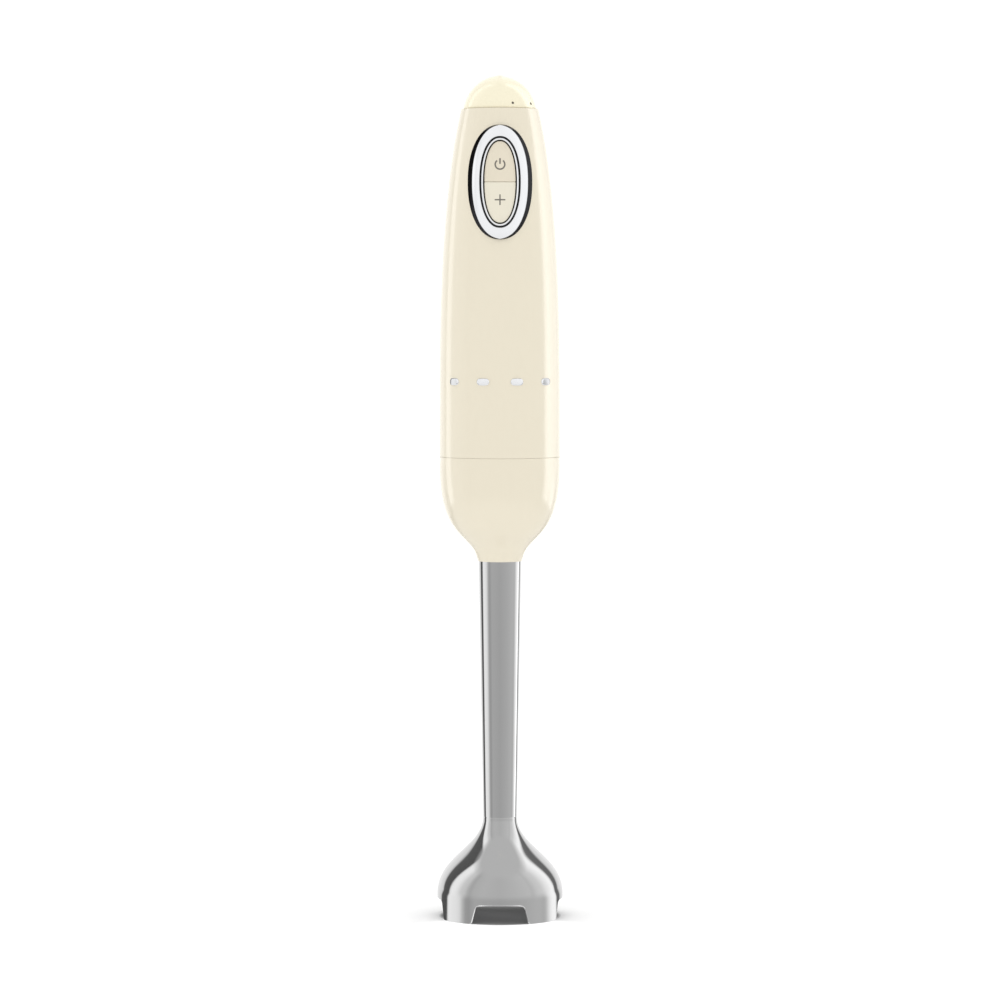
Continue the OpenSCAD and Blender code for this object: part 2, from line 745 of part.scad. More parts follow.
module arm_collar() {
    color(cream) difference() {
        union() {
            rotate_extrude() polygon(concat(
                reversed(cubic_path(collar_curve, 22)),
                [[spigot_r, arm_h - 0.1], [spigot_r, arm_h + spigot_h], [18.6, arm_h + spigot_h],
                 [18.6, arm_h - 2.6], [handle_r - 2.6, arm_h - 2.6]],
                cubic_path(collar_inside, 16),
                [[tube_top_r + gap, arm_h - 43], [tube_top_r + gap, collar_foot_z]]));
            for (a = [0:120:240])
                sector(spigot_r - 0.5, lug_r, a - lug_angle / 2, a + lug_angle / 2, arm_h + 7, arm_h + 10);
        }
        tube(spigot_r + 5, 19.9, arm_h + 1.6, arm_h + 3.2);
    }
}

module spigot_o_ring() {
    color(rubber) translate([0, 0, arm_h + 2.4]) rotate_extrude() translate([20.62, 0]) circle(r = 0.7);
}

// Moulding that grips the top of the tube and closes the spigot
module tube_carrier() {
    color(black) rotate_extrude() polygon([
        [tube_top_r + gap, arm_h - 33], [13, arm_h - 33], [13, arm_h - 9], [18.5, arm_h - 9],
        [18.5, arm_h + 5], [16.8, arm_h + 5], [16.8, arm_h - 6], [tube_top_r + gap, arm_h - 6]]);
}

module arm_tube() {
    top = arm_h - 7;
    wall = 1;
    color(steel) rotate_extrude() polygon([
        [tube_foot_r, tube_foot_z], [tube_top_r, collar_foot_z], [tube_top_r, top],
        [tube_top_r - wall, top], [tube_top_r - wall, collar_foot_z], [tube_foot_r - wall, tube_foot_z]]);
}

// Outline of one window in the guard's rim, with rounded upper corners and flared feet
function window_outline() =
    let (top = 12.2, foot = 13.6, r = 2.4, flare = 1.3,
         right = concat([[foot + flare, -2]], arc([foot + flare, flare], flare, 270, 190, 5),
                        arc([top - r, window_h - r], r, 8, 90, 6)))
    concat(right, [for (p = reversed(right)) [-p[0], p[1]]]);

module blade_guard() {
    color(steel) difference() {
        rotate_extrude() polygon(concat(
            cubic_path(guard_curve, 24), [[guard_r + 0.15, 0], [guard_r - guard_wall + 0.15, 0]],
            reversed(cubic_path(guard_inside, 24))));
        for (a = [0:90:270]) rotate([0, 0, a]) translate([0, -18, 0]) rotate([90, 0, 0])
            linear_extrude(20) polygon(window_outline());
    }
}

module bearing_housing() {
    color(steel) difference() {
        tube(tube_foot_r - 1.15, 5 + gap, 18, tube_foot_z + 12);
        tube(20, 6.2, 18 - 1, 19.2);
    }
}

module spindle_bushes() {
    color(nylon) {
        tube(tube_top_r - 1.05, spindle_r + gap, arm_h - 22, arm_h - 8);
        tube(tube_radius(112) - 1.05, spindle_r + gap, 112, 122);
    }
}

module lower_bush() { color(bronze) tube(5, spindle_r + gap, 26, 46); }

module shaft_seal() {
    color(rubber) rotate_extrude() polygon([
        [spindle_r + 0.9, 24.5], [5, 24.5], [5, 19.4], [spindle_r + gap, 19.4], [spindle_r + gap, 20.6],
        [spindle_r + 0.9, 21.6]]);
}

// ---- Blade -----------------------------------------------------------------------------------

module blade_spindle() {
    color(steel) translate([0, 0, 6.6]) cylinder(r = spindle_r, h = arm_h + 6.4 - 6.6);
}

// One wing: a flat root and a tip bent by an angle, cut to its outline seen from below
module wing(bend) {
    root = 9;
    thick = 1.4;
    tip = [blade_r + 2, (blade_r + 2 - root) * tan(bend)];
    lift = thick / cos(bend);
    inner = root - thick * tan(bend / 2);
    intersection() {
        translate([0, 8, 0]) rotate([90, 0, 0]) linear_extrude(16)
            polygon([[0, 0], [root, 0], tip, tip + [0, lift], [inner, thick], [0, thick]]);
        translate([0, 0, -10]) linear_extrude(30) polygon([
            [0, -3.4], [blade_r - 7, -3.4], [blade_r - 2, -1.8], [blade_r - 0.3, 1.2], [blade_r - 1.2, 2.6],
            [blade_r - 6, 3.1], [0, 3.1]]);
    }
}

module blade() {
    color(steel) difference() {
        translate([0, 0, blade_z]) union() {
            cylinder(r = 5.2, h = 1.4);
            for (a = [45, 225]) rotate([0, 0, a]) wing(24);
            for (a = [135, 315]) rotate([0, 0, a]) wing(-20);
        }
        cylinder(r = spindle_r, h = 30);
    }
}

module blade_spacer() { color(steel) tube(4.6, spindle_r, blade_z + 1.4, 17.9); }

module blade_nut() {
    color(steel) difference() {
        union() {
            translate([0, 0, blade_z - 3.4]) cylinder(r = 4.4, h = 3.4, $fn = 6);
            translate([0, 0, blade_z - 3.4]) mirror([0, 0, 1]) cylinder(r1 = 3.6, r2 = 2.2, h = 1.6);
        }
        translate([0, 0, 6.3]) cylinder(r = spindle_r, h = 10);
    }
}

front_shell();
rear_shell();
bezel();
button_frame();
button_carrier();
front_trim();
control_board();
micro_switches();
mains_capacitor();
triac();
heatsink();
dial_base();
potentiometer();
potentiometer_nut();
cord_gland();
upper_bracket();
lower_bracket();
field_core();
field_coils();
motor_bolts();
brush_holders();
carbon_brushes();
brush_springs();
motor_bush();
bearing_outer_race();
upper_mount_ring();
lower_mount_ring();
bayonet_socket();
socket_screws();
shell_screws();
board_screws();
speed_dial();
dial_spindle();
power_button();
power_plunger();
power_spring();
turbo_button();
turbo_plunger();
turbo_spring();
motor_shaft();
armature_core();
armature_winding();
commutator();
cooling_fan();
bearing_inner_race();
drive_coupling();
arm_collar();
tube_carrier();
arm_tube();
blade_guard();
bearing_housing();
spindle_bushes();
lower_bush();
shaft_seal();
spigot_o_ring();
blade_spindle();
driven_coupling();
blade();
blade_spacer();
blade_nut();
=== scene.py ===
"""Immersion blender: a cream handle with a speed dial and two buttons, and a polished steel arm
that ends in a bell-shaped blade guard. The skins, trims, buttons and arm are made here; the blade
and what the handle holds inside come from the frame and get their finish here. Lengths are in metres."""

import json
import math

import bpy
import numpy as np
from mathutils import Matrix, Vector


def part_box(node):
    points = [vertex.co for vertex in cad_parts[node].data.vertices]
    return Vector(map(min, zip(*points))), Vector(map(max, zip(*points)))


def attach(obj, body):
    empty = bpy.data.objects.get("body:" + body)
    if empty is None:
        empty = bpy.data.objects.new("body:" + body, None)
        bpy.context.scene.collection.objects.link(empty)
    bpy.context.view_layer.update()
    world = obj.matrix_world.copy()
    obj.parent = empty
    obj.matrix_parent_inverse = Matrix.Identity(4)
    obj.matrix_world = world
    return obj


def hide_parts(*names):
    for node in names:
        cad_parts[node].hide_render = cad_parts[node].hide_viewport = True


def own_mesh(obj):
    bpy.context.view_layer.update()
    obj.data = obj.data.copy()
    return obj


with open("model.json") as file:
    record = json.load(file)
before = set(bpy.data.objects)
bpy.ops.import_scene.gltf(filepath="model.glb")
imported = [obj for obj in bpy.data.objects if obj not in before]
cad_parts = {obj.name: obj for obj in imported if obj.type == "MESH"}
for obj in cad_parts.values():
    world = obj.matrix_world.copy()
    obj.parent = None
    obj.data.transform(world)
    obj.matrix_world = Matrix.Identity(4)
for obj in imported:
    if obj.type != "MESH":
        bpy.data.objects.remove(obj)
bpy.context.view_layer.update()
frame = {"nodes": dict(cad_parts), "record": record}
MM = 0.001


# ---- Studio ----
# A white floor and a white surround. Polished metal shows what stands round it: a grey room in
# front, a tall white panel on each side, a narrow dark screen behind each panel, white at the back.

CAMERA_PLACE = (0, -1.8, 0.288)
CAMERA_AIM = (0, 0, 0.1996)
CAMERA_LENS = 135.9
FLOOR_SIZE = 12.0
FLOOR_WHITE, FLOOR_GLOW = 0.97, 0.05
PAINTED_SHADOW_GREY, PAINTED_SHADOW_FROM, PAINTED_SHADOW_TO = 0.3, 0.0295, 0.0275  # painted shadow: the floor's colour greys inside the blade guard's rim
SURROUND_LIGHT = 1.09  # evenly all round, as matt surfaces receive it
# (degrees round from the camera's side, positive to its right; brightness seen in a mirror there)
SURROUND = [
    (-180, 0.92), (-153, 0.87), (-132, 0.72), (-129, 0.50), (-126.5, 0.10), (-112, 0.08), (-109.5, 0.12),
    (-106, 0.80), (-102, 0.91), (-93, 0.90), (-86, 0.80), (-79, 0.65), (-69, 0.58), (-64, 0.46), (-58, 0.41),
    (-51, 0.46), (-33, 0.485), (0, 0.46), (27, 0.49), (57, 0.535), (63, 0.505), (75, 0.61), (86, 0.66),
    (99, 0.86), (113, 1.04), (118.5, 0.95), (122, 0.15), (131.5, 0.13), (137, 0.70), (153, 0.86), (180, 0.92),
]
LOW_FRONT = [  # in front and below the horizon
    (-97, 0.88), (-85, 0.84), (-78, 0.76), (-71, 0.49), (-66, 0.36), (-60, 0.33), (-47, 0.41), (0, 0.38),
    (48, 0.43), (70, 0.47), (78, 0.47), (85, 0.45), (90, 0.52), (94, 0.66), (99, 0.84), (106, 1.0),
]
LOW_SURROUND = [s for s in SURROUND if s[0] < -97] + LOW_FRONT + [s for s in SURROUND if s[0] > 106]
LOW_START, LOW_END = 0.12, -0.13
# The panels lean: above the horizon the screens widen backwards, below it everything past 60
# degrees swings back.
SCREEN_FRONT, WIDEN_LEFT, WIDEN_RIGHT = math.radians(118), 1.9, 1.0
SWING_FROM, SWING = math.radians(60), 0.75
ZENITH_START, ZENITH_END, ZENITH_LIGHT = 0.80, 0.90, 0.49
NADIR_START, NADIR_END, NADIR_LIGHT = -0.35, -0.5, 0.9  # what the white floor sends up
FLOOR_LAMP_PLACE = (0, -0.062, 1.0)
FLOOR_LAMP_CONE, FLOOR_LAMP_FADE, FLOOR_LAMP_WATTS = math.radians(6.6), 0.5, 16.0


def linear(*channels):
    """Display values of 0 to 255 as linear light: v / 12.92 near black, else ((v + 0.055) / 1.055)^2.4."""
    v = np.array(channels) / 255
    return [float(c) for c in np.where(v <= 0.04045, v / 12.92, ((v + 0.055) / 1.055) ** 2.4)]


def feed(tree, node, inputs):
    """Gives inputs of a node their values, or links to the sockets named as their values."""
    for key, value in dict(inputs).items():
        if isinstance(value, bpy.types.NodeSocket):
            tree.links.new(value, node.inputs[key])
        else:
            node.inputs[key].default_value = value


def add_node(tree, kind, inputs=(), **settings):
    """The outputs of a new shader node with those settings and inputs."""
    made = tree.nodes.new("ShaderNode" + kind)
    for name, value in settings.items():
        setattr(made, name, value)
    feed(tree, made, inputs)
    return made.outputs


def work_out(tree, operation, *values):
    """One step of arithmetic."""
    return add_node(tree, "Math", dict(enumerate(values)), operation=operation)[0]


def remap(tree, value, start, end, low=0.0, high=1.0, **settings):
    """Carries start..end to low..high, and holds the ends."""
    return add_node(tree, "MapRange", {0: value, 1: start, 2: end, 3: low, 4: high}, **settings)[0]


def blend(tree, factor, first, second):
    """Mix of two colours."""
    return add_node(tree, "Mix", {0: factor, 6: first, 7: second}, data_type="RGBA")[2]


def put_in(name, data, place=(0, 0, 0), aim=None):
    """An object in the scene, its -z axis pointed at aim."""
    made = bpy.data.objects.new(name, data)
    made.location = place
    if aim:
        made.rotation_euler = (Vector(aim) - Vector(place)).to_track_quat("-Z", "Y").to_euler()
    bpy.context.collection.objects.link(made)
    return made


def fill_ramp(ramp, stops):
    """Puts (position, grey) stops into a colour ramp."""
    while len(ramp.elements) > 1:
        ramp.elements.remove(ramp.elements[-1])
    for number, (position, grey) in enumerate(stops):
        stop = ramp.elements[0] if number == 0 else ramp.elements.new(position)
        stop.position = position
        stop.color = (grey, grey, grey, 1)


camera_data = bpy.data.cameras.new("camera")
camera_data.lens = CAMERA_LENS
camera_data.sensor_width = 36
bpy.context.scene.camera = put_in("camera", camera_data, CAMERA_PLACE, CAMERA_AIM)
bpy.context.scene.view_settings.view_transform = "Standard"

world = bpy.data.worlds.new("studio")
world.use_nodes = True
bpy.context.scene.world = world
sky = world.node_tree
sky.nodes.clear()
axes = add_node(sky, "SeparateXYZ", {0: add_node(sky, "TexCoord")["Generated"]})
bearing = work_out(sky, "ARCTAN2", axes[0], work_out(sky, "MULTIPLY", axes[1], -1.0))
side = work_out(sky, "SIGN", bearing)
away = work_out(sky, "ABSOLUTE", bearing)
lift = work_out(sky, "MAXIMUM", axes[2], 0.0)
drop = work_out(sky, "MAXIMUM", work_out(sky, "MULTIPLY", axes[2], -1.0), 0.0)
past = work_out(sky, "MAXIMUM", work_out(sky, "SUBTRACT", away, SWING_FROM), 0.0)
away = work_out(sky, "MULTIPLY_ADD", work_out(sky, "MULTIPLY", past, drop), -SWING, away)
widen = work_out(sky, "MULTIPLY_ADD", side, (WIDEN_RIGHT - WIDEN_LEFT) / 2, (WIDEN_RIGHT + WIDEN_LEFT) / 2)
behind = work_out(sky, "MAXIMUM", work_out(sky, "SUBTRACT", away, SCREEN_FRONT), 0.0)
behind = work_out(sky, "DIVIDE", behind, work_out(sky, "MULTIPLY_ADD", lift, widen, 1.0))
away = work_out(sky, "ADD", work_out(sky, "MINIMUM", away, SCREEN_FRONT), behind)
turn = remap(sky, work_out(sky, "MULTIPLY", away, side), -math.pi, math.pi)
level = add_node(sky, "ValToRGB", {0: turn})[0]
low = add_node(sky, "ValToRGB", {0: turn})[0]
for ramp, stops in [(level.node, SURROUND), (low.node, LOW_SURROUND)]:
    fill_ramp(ramp.color_ramp, [((degrees + 180) / 360, glow) for degrees, glow in stops])
mirrored = blend(sky, remap(sky, axes[2], LOW_START, LOW_END), level, low)
for start, end, light in [(ZENITH_START, ZENITH_END, ZENITH_LIGHT), (NADIR_START, NADIR_END, NADIR_LIGHT)]:
    mirrored = blend(sky, remap(sky, axes[2], start, end), mirrored, (light, light, light, 1))
ray = add_node(sky, "LightPath")["Is Glossy Ray"]
seen = blend(sky, ray, (SURROUND_LIGHT, SURROUND_LIGHT, SURROUND_LIGHT, 1), mirrored)
add_node(sky, "OutputWorld", {0: add_node(sky, "Background", {0: seen, 1: 1.0})[0]})


def start_material(name):
    """A material with a Principled shader, its tree and that shader."""
    material = bpy.data.materials.new(name)
    material.use_nodes = True
    return material, material.node_tree, material.node_tree.nodes["Principled BSDF"]


half = FLOOR_SIZE / 2
floor_mesh = bpy.data.meshes.new("floor")
corners = [(-half, -half, 0), (half, -half, 0), (half, half, 0), (-half, half, 0)]
floor_mesh.from_pydata(corners, [], [(0, 1, 2, 3)])
floor = put_in("floor", floor_mesh)
# The floor's colour fades to grey inside the guard's rim: a painted shadow for the floor the guard keeps in
# the dark.
floor_with_painted_shadow, tree, shader = start_material("floor_with_painted_shadow")
far = add_node(tree, "VectorMath", {0: add_node(tree, "TexCoord")["Object"]}, operation="LENGTH")["Value"]
feed(tree, shader, {
    "Base Color": remap(tree, far, PAINTED_SHADOW_TO, PAINTED_SHADOW_FROM, PAINTED_SHADOW_GREY, FLOOR_WHITE), "Roughness": 0.9,
    "Specular IOR Level": 0.0, "Emission Color": (1, 1, 1, 1), "Emission Strength": FLOOR_GLOW})
floor_mesh.materials.append(floor_with_painted_shadow)
floor.visible_glossy = False

# A lamp straight above the floor in front of the guard, which lights the floor alone
light = bpy.data.lights.new("floor_lamp", "SPOT")
light.spot_size = FLOOR_LAMP_CONE
light.spot_blend = FLOOR_LAMP_FADE
light.energy = FLOOR_LAMP_WATTS
light.shadow_soft_size = 0.0
floor_lamp = put_in("floor_lamp", light, FLOOR_LAMP_PLACE)
lit_floor = bpy.data.collections.new("lit_floor")
lit_floor.objects.link(floor)
floor_lamp.light_linking.receiver_collection = lit_floor


# ---- Handle shells ----
# The handle is two glossy cream mouldings, joined along the sides and screwed together from
# behind. The front one has the opening for the buttons, the rear one the fan's outlet slots,
# the wells of the two screws and the boss that the cord's gland sits in.

shell_low, shell_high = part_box("front_shell")
HANDLE_R = shell_high.x
HANDLE_FOOT = shell_low.z
STRAIGHT_TOP = HANDLE_FOOT + 19.6 * MM
TAPER_RUN = 178 * MM
TAPER_POWER = 2.6
SHELL_WALL = 2.4 * MM
EDGE_ROUND = 0.3 * MM
SHELL_EDGE = 0.15 * MM
SHELL_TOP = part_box("speed_dial")[0].z + 2.12 * MM  # just under the dial's foot
CREAM = (228, 220, 200)

bezel_low, bezel_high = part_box("bezel")
BLOCK_Z = (bezel_low.z + bezel_high.z) / 2
BEZEL_W = bezel_high.x
BEZEL_H = (bezel_high.z - bezel_low.z) / 2
OVAL_POWER = 0.91
APERTURE_IN = 3.8 * MM
SHARP = math.radians(35)  # edges that turn more than this are hard


def handle_radius(z):
    """Plain cylinder up to STRAIGHT_TOP, then R times the root of 1 - (rise / run) ^ 2.6."""
    rise = np.clip((np.asarray(z, float) - STRAIGHT_TOP) / TAPER_RUN, 0, 1)
    return HANDLE_R * np.sqrt(1 - rise**TAPER_POWER)


def polar(r, turn, z):
    """Points at a radius and an angle about the z axis, at a height."""
    return np.stack([r * np.cos(turn), r * np.sin(turn), z + 0 * r * turn], -1)


def round_handle(turn, z, proud=0.0):
    """Points at an angle about the handle's axis and a height, proud of its surface."""
    return polar(handle_radius(z) + proud, turn, z)


def oval(angle, inset=0.0, w=BEZEL_W, h=BEZEL_H):
    """A little squarer than an ellipse: each of cos and sin raised to 0.91, keeping its sign."""
    c, s = np.cos(angle), np.sin(angle)
    x = (w - inset) * np.sign(c) * np.abs(c) ** OVAL_POWER
    return x, BLOCK_Z + (h - inset) * np.sign(s) * np.abs(s) ** OVAL_POWER


def make_piece(name, points, faces, body, material, replaces=()):
    """A mesh from points and faces, smooth but for its hard edges, riding on a body."""
    mesh = bpy.data.meshes.new(name)
    mesh.from_pydata(points.reshape(-1, 3).tolist(), [], faces)
    mesh.set_sharp_from_angle(angle=SHARP)
    mesh.materials.append(material)
    piece = put_in(name, mesh)
    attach(piece, body)
    if replaces:
        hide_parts(*replaces)
    return piece


def give_wall(piece, wall, edge=None):
    """Thickness behind the outer surface, then, given an edge's width, a round along every hard edge."""
    thicken = piece.modifiers.new("wall", "SOLIDIFY")
    thicken.thickness = wall
    thicken.offset = -1
    if edge is None:
        return
    thicken.use_even_offset = True
    bevel = piece.modifiers.new("edge_round", "BEVEL")
    bevel.width = edge
    bevel.segments = 3
    bevel.harden_normals = True
    bevel.limit_method = "ANGLE"
    bevel.angle_limit = SHARP


def grid(rows, columns):
    """Row and column numbers of every cell, row by row."""
    return (a.ravel() for a in np.meshgrid(np.arange(rows), np.arange(columns), indexing="ij"))


def hoop_faces(rows, count, first=0, closed=False, flip=False):
    """Quads between hoops of count points each, numbered hoop by hoop from first. Closed, the last
    hoop joins the first one."""
    i, j = grid(rows if closed else rows - 1, count)
    on, up = (j + 1) % count, (i + 1) % rows
    corners = [i * count + j, i * count + on, up * count + on, up * count + j]
    if flip:
        corners = [corners[k] for k in (0, 3, 2, 1)]
    return (first + np.stack(corners, -1)).tolist()


def fan_faces(base, count, tip):
    """Triangles from the hoop whose first point is base to the tip."""
    j = np.arange(count)
    return np.stack([base + j, base + (j + 1) % count, np.full(count, tip)], -1).tolist()


def lines(marks, step):
    """Marks with evenly spaced lines put in between them, no further apart than step."""
    marks = np.unique(np.round(marks, 9))
    pairs = zip(marks, marks[1:])
    spans = [np.linspace(a, b, max(1, math.ceil((b - a) / step)) + 1)[:-1] for a, b in pairs]
    return np.concatenate([*spans, marks[-1:]])


def pierced_sheet(turns, heights, holes, ring_rows=5):
    """Sheet over a lattice of angles and heights on the handle. Each hole is (low turn, high turn, low
    height, high height, outline, rings): whole cells are left out, rows of faces lead in straight
    lines from the cells' edge to outline(angle), and rings(outline) adds rows of points after it."""
    n, m = len(turns), len(heights)
    t, z = np.meshgrid(turns, heights, indexing="ij")
    points = [round_handle(t, z).reshape(-1, 3)]
    i, j = grid(n - 1, m - 1)
    keep = np.ones(len(i), bool)
    faces = []
    count = n * m
    for t0, t1, z0, z1, outline, rings in holes:
        a, b = np.searchsorted(turns, [t0 - 1e-7, t1 - 1e-7])
        c, d = np.searchsorted(heights, [z0 - 1e-7, z1 - 1e-7])
        keep &= ~((i >= a) & (i < b) & (j >= c) & (j < d))
        along, up = np.arange(a, b), np.arange(c, d)
        rim_i = np.concatenate([along, np.full(len(up), b), along[::-1] + 1, np.full(len(up), a)])
        rim_j = np.concatenate([np.full(len(along), c), up, np.full(len(along), d), up[::-1] + 1])
        rim_t, rim_z = turns[rim_i], heights[rim_j]
        middle_t, middle_z = (t0 + t1) / 2, (z0 + z1) / 2
        angle = np.arctan2((rim_z - middle_z) / (z1 - z0), (rim_t - middle_t) / (t1 - t0))
        hole_t, hole_z = outline(angle)
        share = np.linspace(0, 1, ring_rows + 1)[1:, None]
        rows = round_handle(rim_t + (hole_t - rim_t) * share, rim_z + (hole_z - rim_z) * share)
        if rings:
            rows = np.concatenate([rows, rings(rows[-1])])
        size = len(rim_i)
        added = count + np.arange(rows.size // 3).reshape(-1, size)
        index = np.concatenate([(rim_i * m + rim_j)[None], added])
        after = np.roll(index, -1, axis=1)
        faces.append(np.stack([index[:-1], after[:-1], after[1:], index[1:]], -1).reshape(-1, 4))
        points.append(rows.reshape(-1, 3))
        count += rows.size // 3
    i, j = i[keep], j[keep]
    faces.insert(0, np.stack([i * m + j, (i + 1) * m + j, (i + 1) * m + j + 1, i * m + j + 1], -1))
    faces, points = np.concatenate(faces), np.concatenate(points)
    used, faces = np.unique(faces, return_inverse=True)
    return points[used], faces.reshape(-1, 4).tolist()


def effect_group(name, inputs, outputs_of):
    """A node group of numbers; outputs_of(group, its inputs) makes its nodes and names its outputs."""
    group = bpy.data.node_groups.new(name, "ShaderNodeTree")
    for key, value in inputs.items():
        made = group.interface.new_socket(key, in_out="INPUT", socket_type="NodeSocketFloat")
        made.default_value = value
    outputs = outputs_of(group, group.nodes.new("NodeGroupInput").outputs)
    for key in outputs:
        group.interface.new_socket(key, in_out="OUTPUT", socket_type="NodeSocketFloat")
    feed(group, group.nodes.new("NodeGroupOutput"), outputs)
    return group


def unevenness(group, given):
    """Slow and fast noise of a surface, as a colour factor, a roughness and a height."""
    place = add_node(group, "TexCoord")["Object"]
    slow, fine = [
        add_node(group, "TexNoise", {"Vector": place, "Scale": given[scale], "Detail": detail})["Fac"]
        for scale, detail in [("Slow Scale", 3.0), ("Fine Scale", 2.0)]
    ]
    centred = work_out(group, "SUBTRACT", slow, 0.5)
    return {
        "Color Factor": work_out(group, "MULTIPLY_ADD", centred, given["Tint"], 1.0),
        "Roughness": work_out(group, "MULTIPLY_ADD", centred, given["Roughness Spread"], given["Roughness"]),
        "Height": work_out(group, "MULTIPLY_ADD", slow, 4.0, fine),
    }


UNEVEN_DEFAULTS = {
    "Tint": 0.03, "Slow Scale": 20.0, "Fine Scale": 900.0, "Roughness": 0.3, "Roughness Spread": 0.05}
UNEVEN = effect_group("uneven_surface", UNEVEN_DEFAULTS, unevenness)
SURFACE_RELIEF = 0.1 * MM


def shaded(tree, colour, factor):
    """A colour times a number."""
    return add_node(tree, "VectorMath", {0: colour, 1: factor}, operation="MULTIPLY")[0]


def relief(tree, strength, depth, height):
    """The normal of a surface raised by that height."""
    return add_node(tree, "Bump", {"Strength": strength, "Distance": depth, "Height": height})[0]


def finish_of(name, display, metallic=0.0, roughness=0.3, spread=0.05, tint=0.03, slow=20.0, bump=0.02,
              fine=900.0, **sockets):
    """Material whose display colour, roughness and relief vary by the uneven_surface group."""
    material, tree, shader = start_material(name)
    uneven = add_node(tree, "Group", {
        "Tint": tint, "Slow Scale": slow, "Fine Scale": fine, "Roughness": roughness,
        "Roughness Spread": spread}, node_tree=UNEVEN)
    feed(tree, shader, {
        "Base Color": shaded(tree, linear(*display), uneven["Color Factor"]), "Metallic": metallic,
        "Roughness": uneven["Roughness"], "Normal": relief(tree, bump, SURFACE_RELIEF, uneven["Height"])})
    for key, value in sockets.items():
        shader.inputs[key.replace("_", " ")].default_value = value
    return material


cream_moulding = finish_of("cream_moulding", CREAM, roughness=0.17, spread=0.05, tint=0.02, bump=0.03)


def hang_lamp(name, place, aim, width, height, glow, receivers):
    """An even rectangular lamp of that radiance; its power is radiance times pi times its area."""
    light = bpy.data.lights.new(name, "AREA")
    light.shape = "RECTANGLE"
    light.size = width
    light.size_y = height
    light.energy = glow * math.pi * width * height
    lamp = put_in(name, light, place, aim)
    lamp.visible_camera = False
    lamp.visible_diffuse = False
    lamp.light_linking.receiver_collection = receivers


def stand_panels(name, panels, receivers, distance=2.0, low=-0.4, high=9.0):
    """Upright lamps round the object, seen only in its gloss. Each is (first bearing, last bearing,
    radiance), in degrees round from the camera's side, positive to its right."""
    for number, (first, last, glow) in enumerate(panels):
        middle, half = math.radians((first + last) / 2), math.radians((last - first) / 2)
        near, width = distance * math.cos(half), 2 * distance * math.sin(half)
        place = (near * math.sin(middle), -near * math.cos(middle), (low + high) / 2)
        aim = (0, 0, (low + high) / 2)
        hang_lamp(f"{name}_{number + 1}", place, aim, width, high - low, glow, receivers)


# Softboxes that the cream mouldings reflect along their sides
CREAM_PANELS = [(-178, -126, 0.55), (-123, -107, 2.4), (94, 110, 3.0), (110, 134, 1.9), (134, 178, 0.75)]
cream_pieces = bpy.data.collections.new("cream_pieces")
stand_panels("cream_panel", CREAM_PANELS, cream_pieces)

# Front shell: opening for the button block
OPENING_MARGIN_DEGREES, OPENING_MARGIN_Z = 8, 3.4 * MM
FRONT = -math.pi / 2
TURN_STEP, HEIGHT_STEP = math.radians(1.875), 2.2 * MM
opening_w, opening_h = BEZEL_W - APERTURE_IN, BEZEL_H - APERTURE_IN
opening_t = math.degrees(math.asin(opening_w / float(handle_radius(BLOCK_Z)))) + OPENING_MARGIN_DEGREES
opening_t = math.radians(round(opening_t))
block_t = (FRONT - opening_t, FRONT + opening_t)
block_z = (BLOCK_Z - opening_h - OPENING_MARGIN_Z, BLOCK_Z + opening_h + OPENING_MARGIN_Z)


def opening_outline(angle):
    """The opening's oval, as angles and heights on the handle."""
    x, z = oval(angle, APERTURE_IN)
    return FRONT + np.arcsin(x / handle_radius(z)), z


front_turns = lines([-math.pi, *block_t, 0], TURN_STEP)
front_heights = lines([HANDLE_FOOT, *block_z, SHELL_TOP], HEIGHT_STEP)
points, faces = pierced_sheet(front_turns, front_heights, [(*block_t, *block_z, opening_outline, None)])
front_shell = make_piece(
    "front_shell_skin", points, faces, "motor_body", cream_moulding, ["front_shell"])
give_wall(front_shell, SHELL_WALL, SHELL_EDGE)

# Rear shell: outlet slots, screw wells and the gland's boss, each a hole with its own rim
gland_low, gland_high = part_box("cord_gland")
GLAND_Z = (gland_low.z + gland_high.z) / 2
GLAND_FACE = gland_high.y - 1.8 * MM
BOSS_R, BOSS_BORE, BOSS_FILLET = 8.2 * MM, 5.3 * MM, 1.6 * MM
screw_low, screw_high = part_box("shell_screws")
WELL_X = screw_high.x - 2.7 * MM
WELL_Z = (screw_low.z + screw_high.z) / 2
WELL_R, WELL_FLOOR = 2.9 * MM, 8.0 * MM
SLOT_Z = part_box("cooling_fan")[0].z + 4.5 * MM
SLOT_HALF_W, SLOT_HALF_H = 0.9 * MM, 4.5 * MM
SLOT_TURNS = [math.radians(a) for a in (35, 45, 55, 65, 115, 125, 135, 145)]
BACK = math.pi / 2


def round_hole(centre_x, centre_z, radius):
    """Outline of a hole drilled along y, as angles and heights: (x - cx)^2 + (z - cz)^2 = r^2."""
    def outline(angle):
        # angles run the other way round the handle's back, so x falls as the turn grows
        x, z = centre_x - radius * np.cos(angle), centre_z + radius * np.sin(angle)
        return BACK - np.arcsin(x / handle_radius(z)), z
    return outline


def slot_outline(turn):
    """Outline of a slot with round ends: a circle stretched apart by its straight sides."""
    def outline(angle):
        across, up = np.cos(angle), np.sin(angle)
        straight = SLOT_HALF_H - SLOT_HALF_W
        z = SLOT_Z + SLOT_HALF_W * up + straight * np.clip(up * 3, -1, 1)
        return turn + SLOT_HALF_W * across / HANDLE_R, z
    return outline


def well_rings(rim):
    """Rows straight down from the rim of a screw's well to its floor."""
    depth = np.linspace(0, 1, 5)[1:, None]
    rows = np.repeat(rim[None], 4, axis=0)
    rows[..., 1] += (WELL_FLOOR - rim[:, 1]) * depth
    return rows


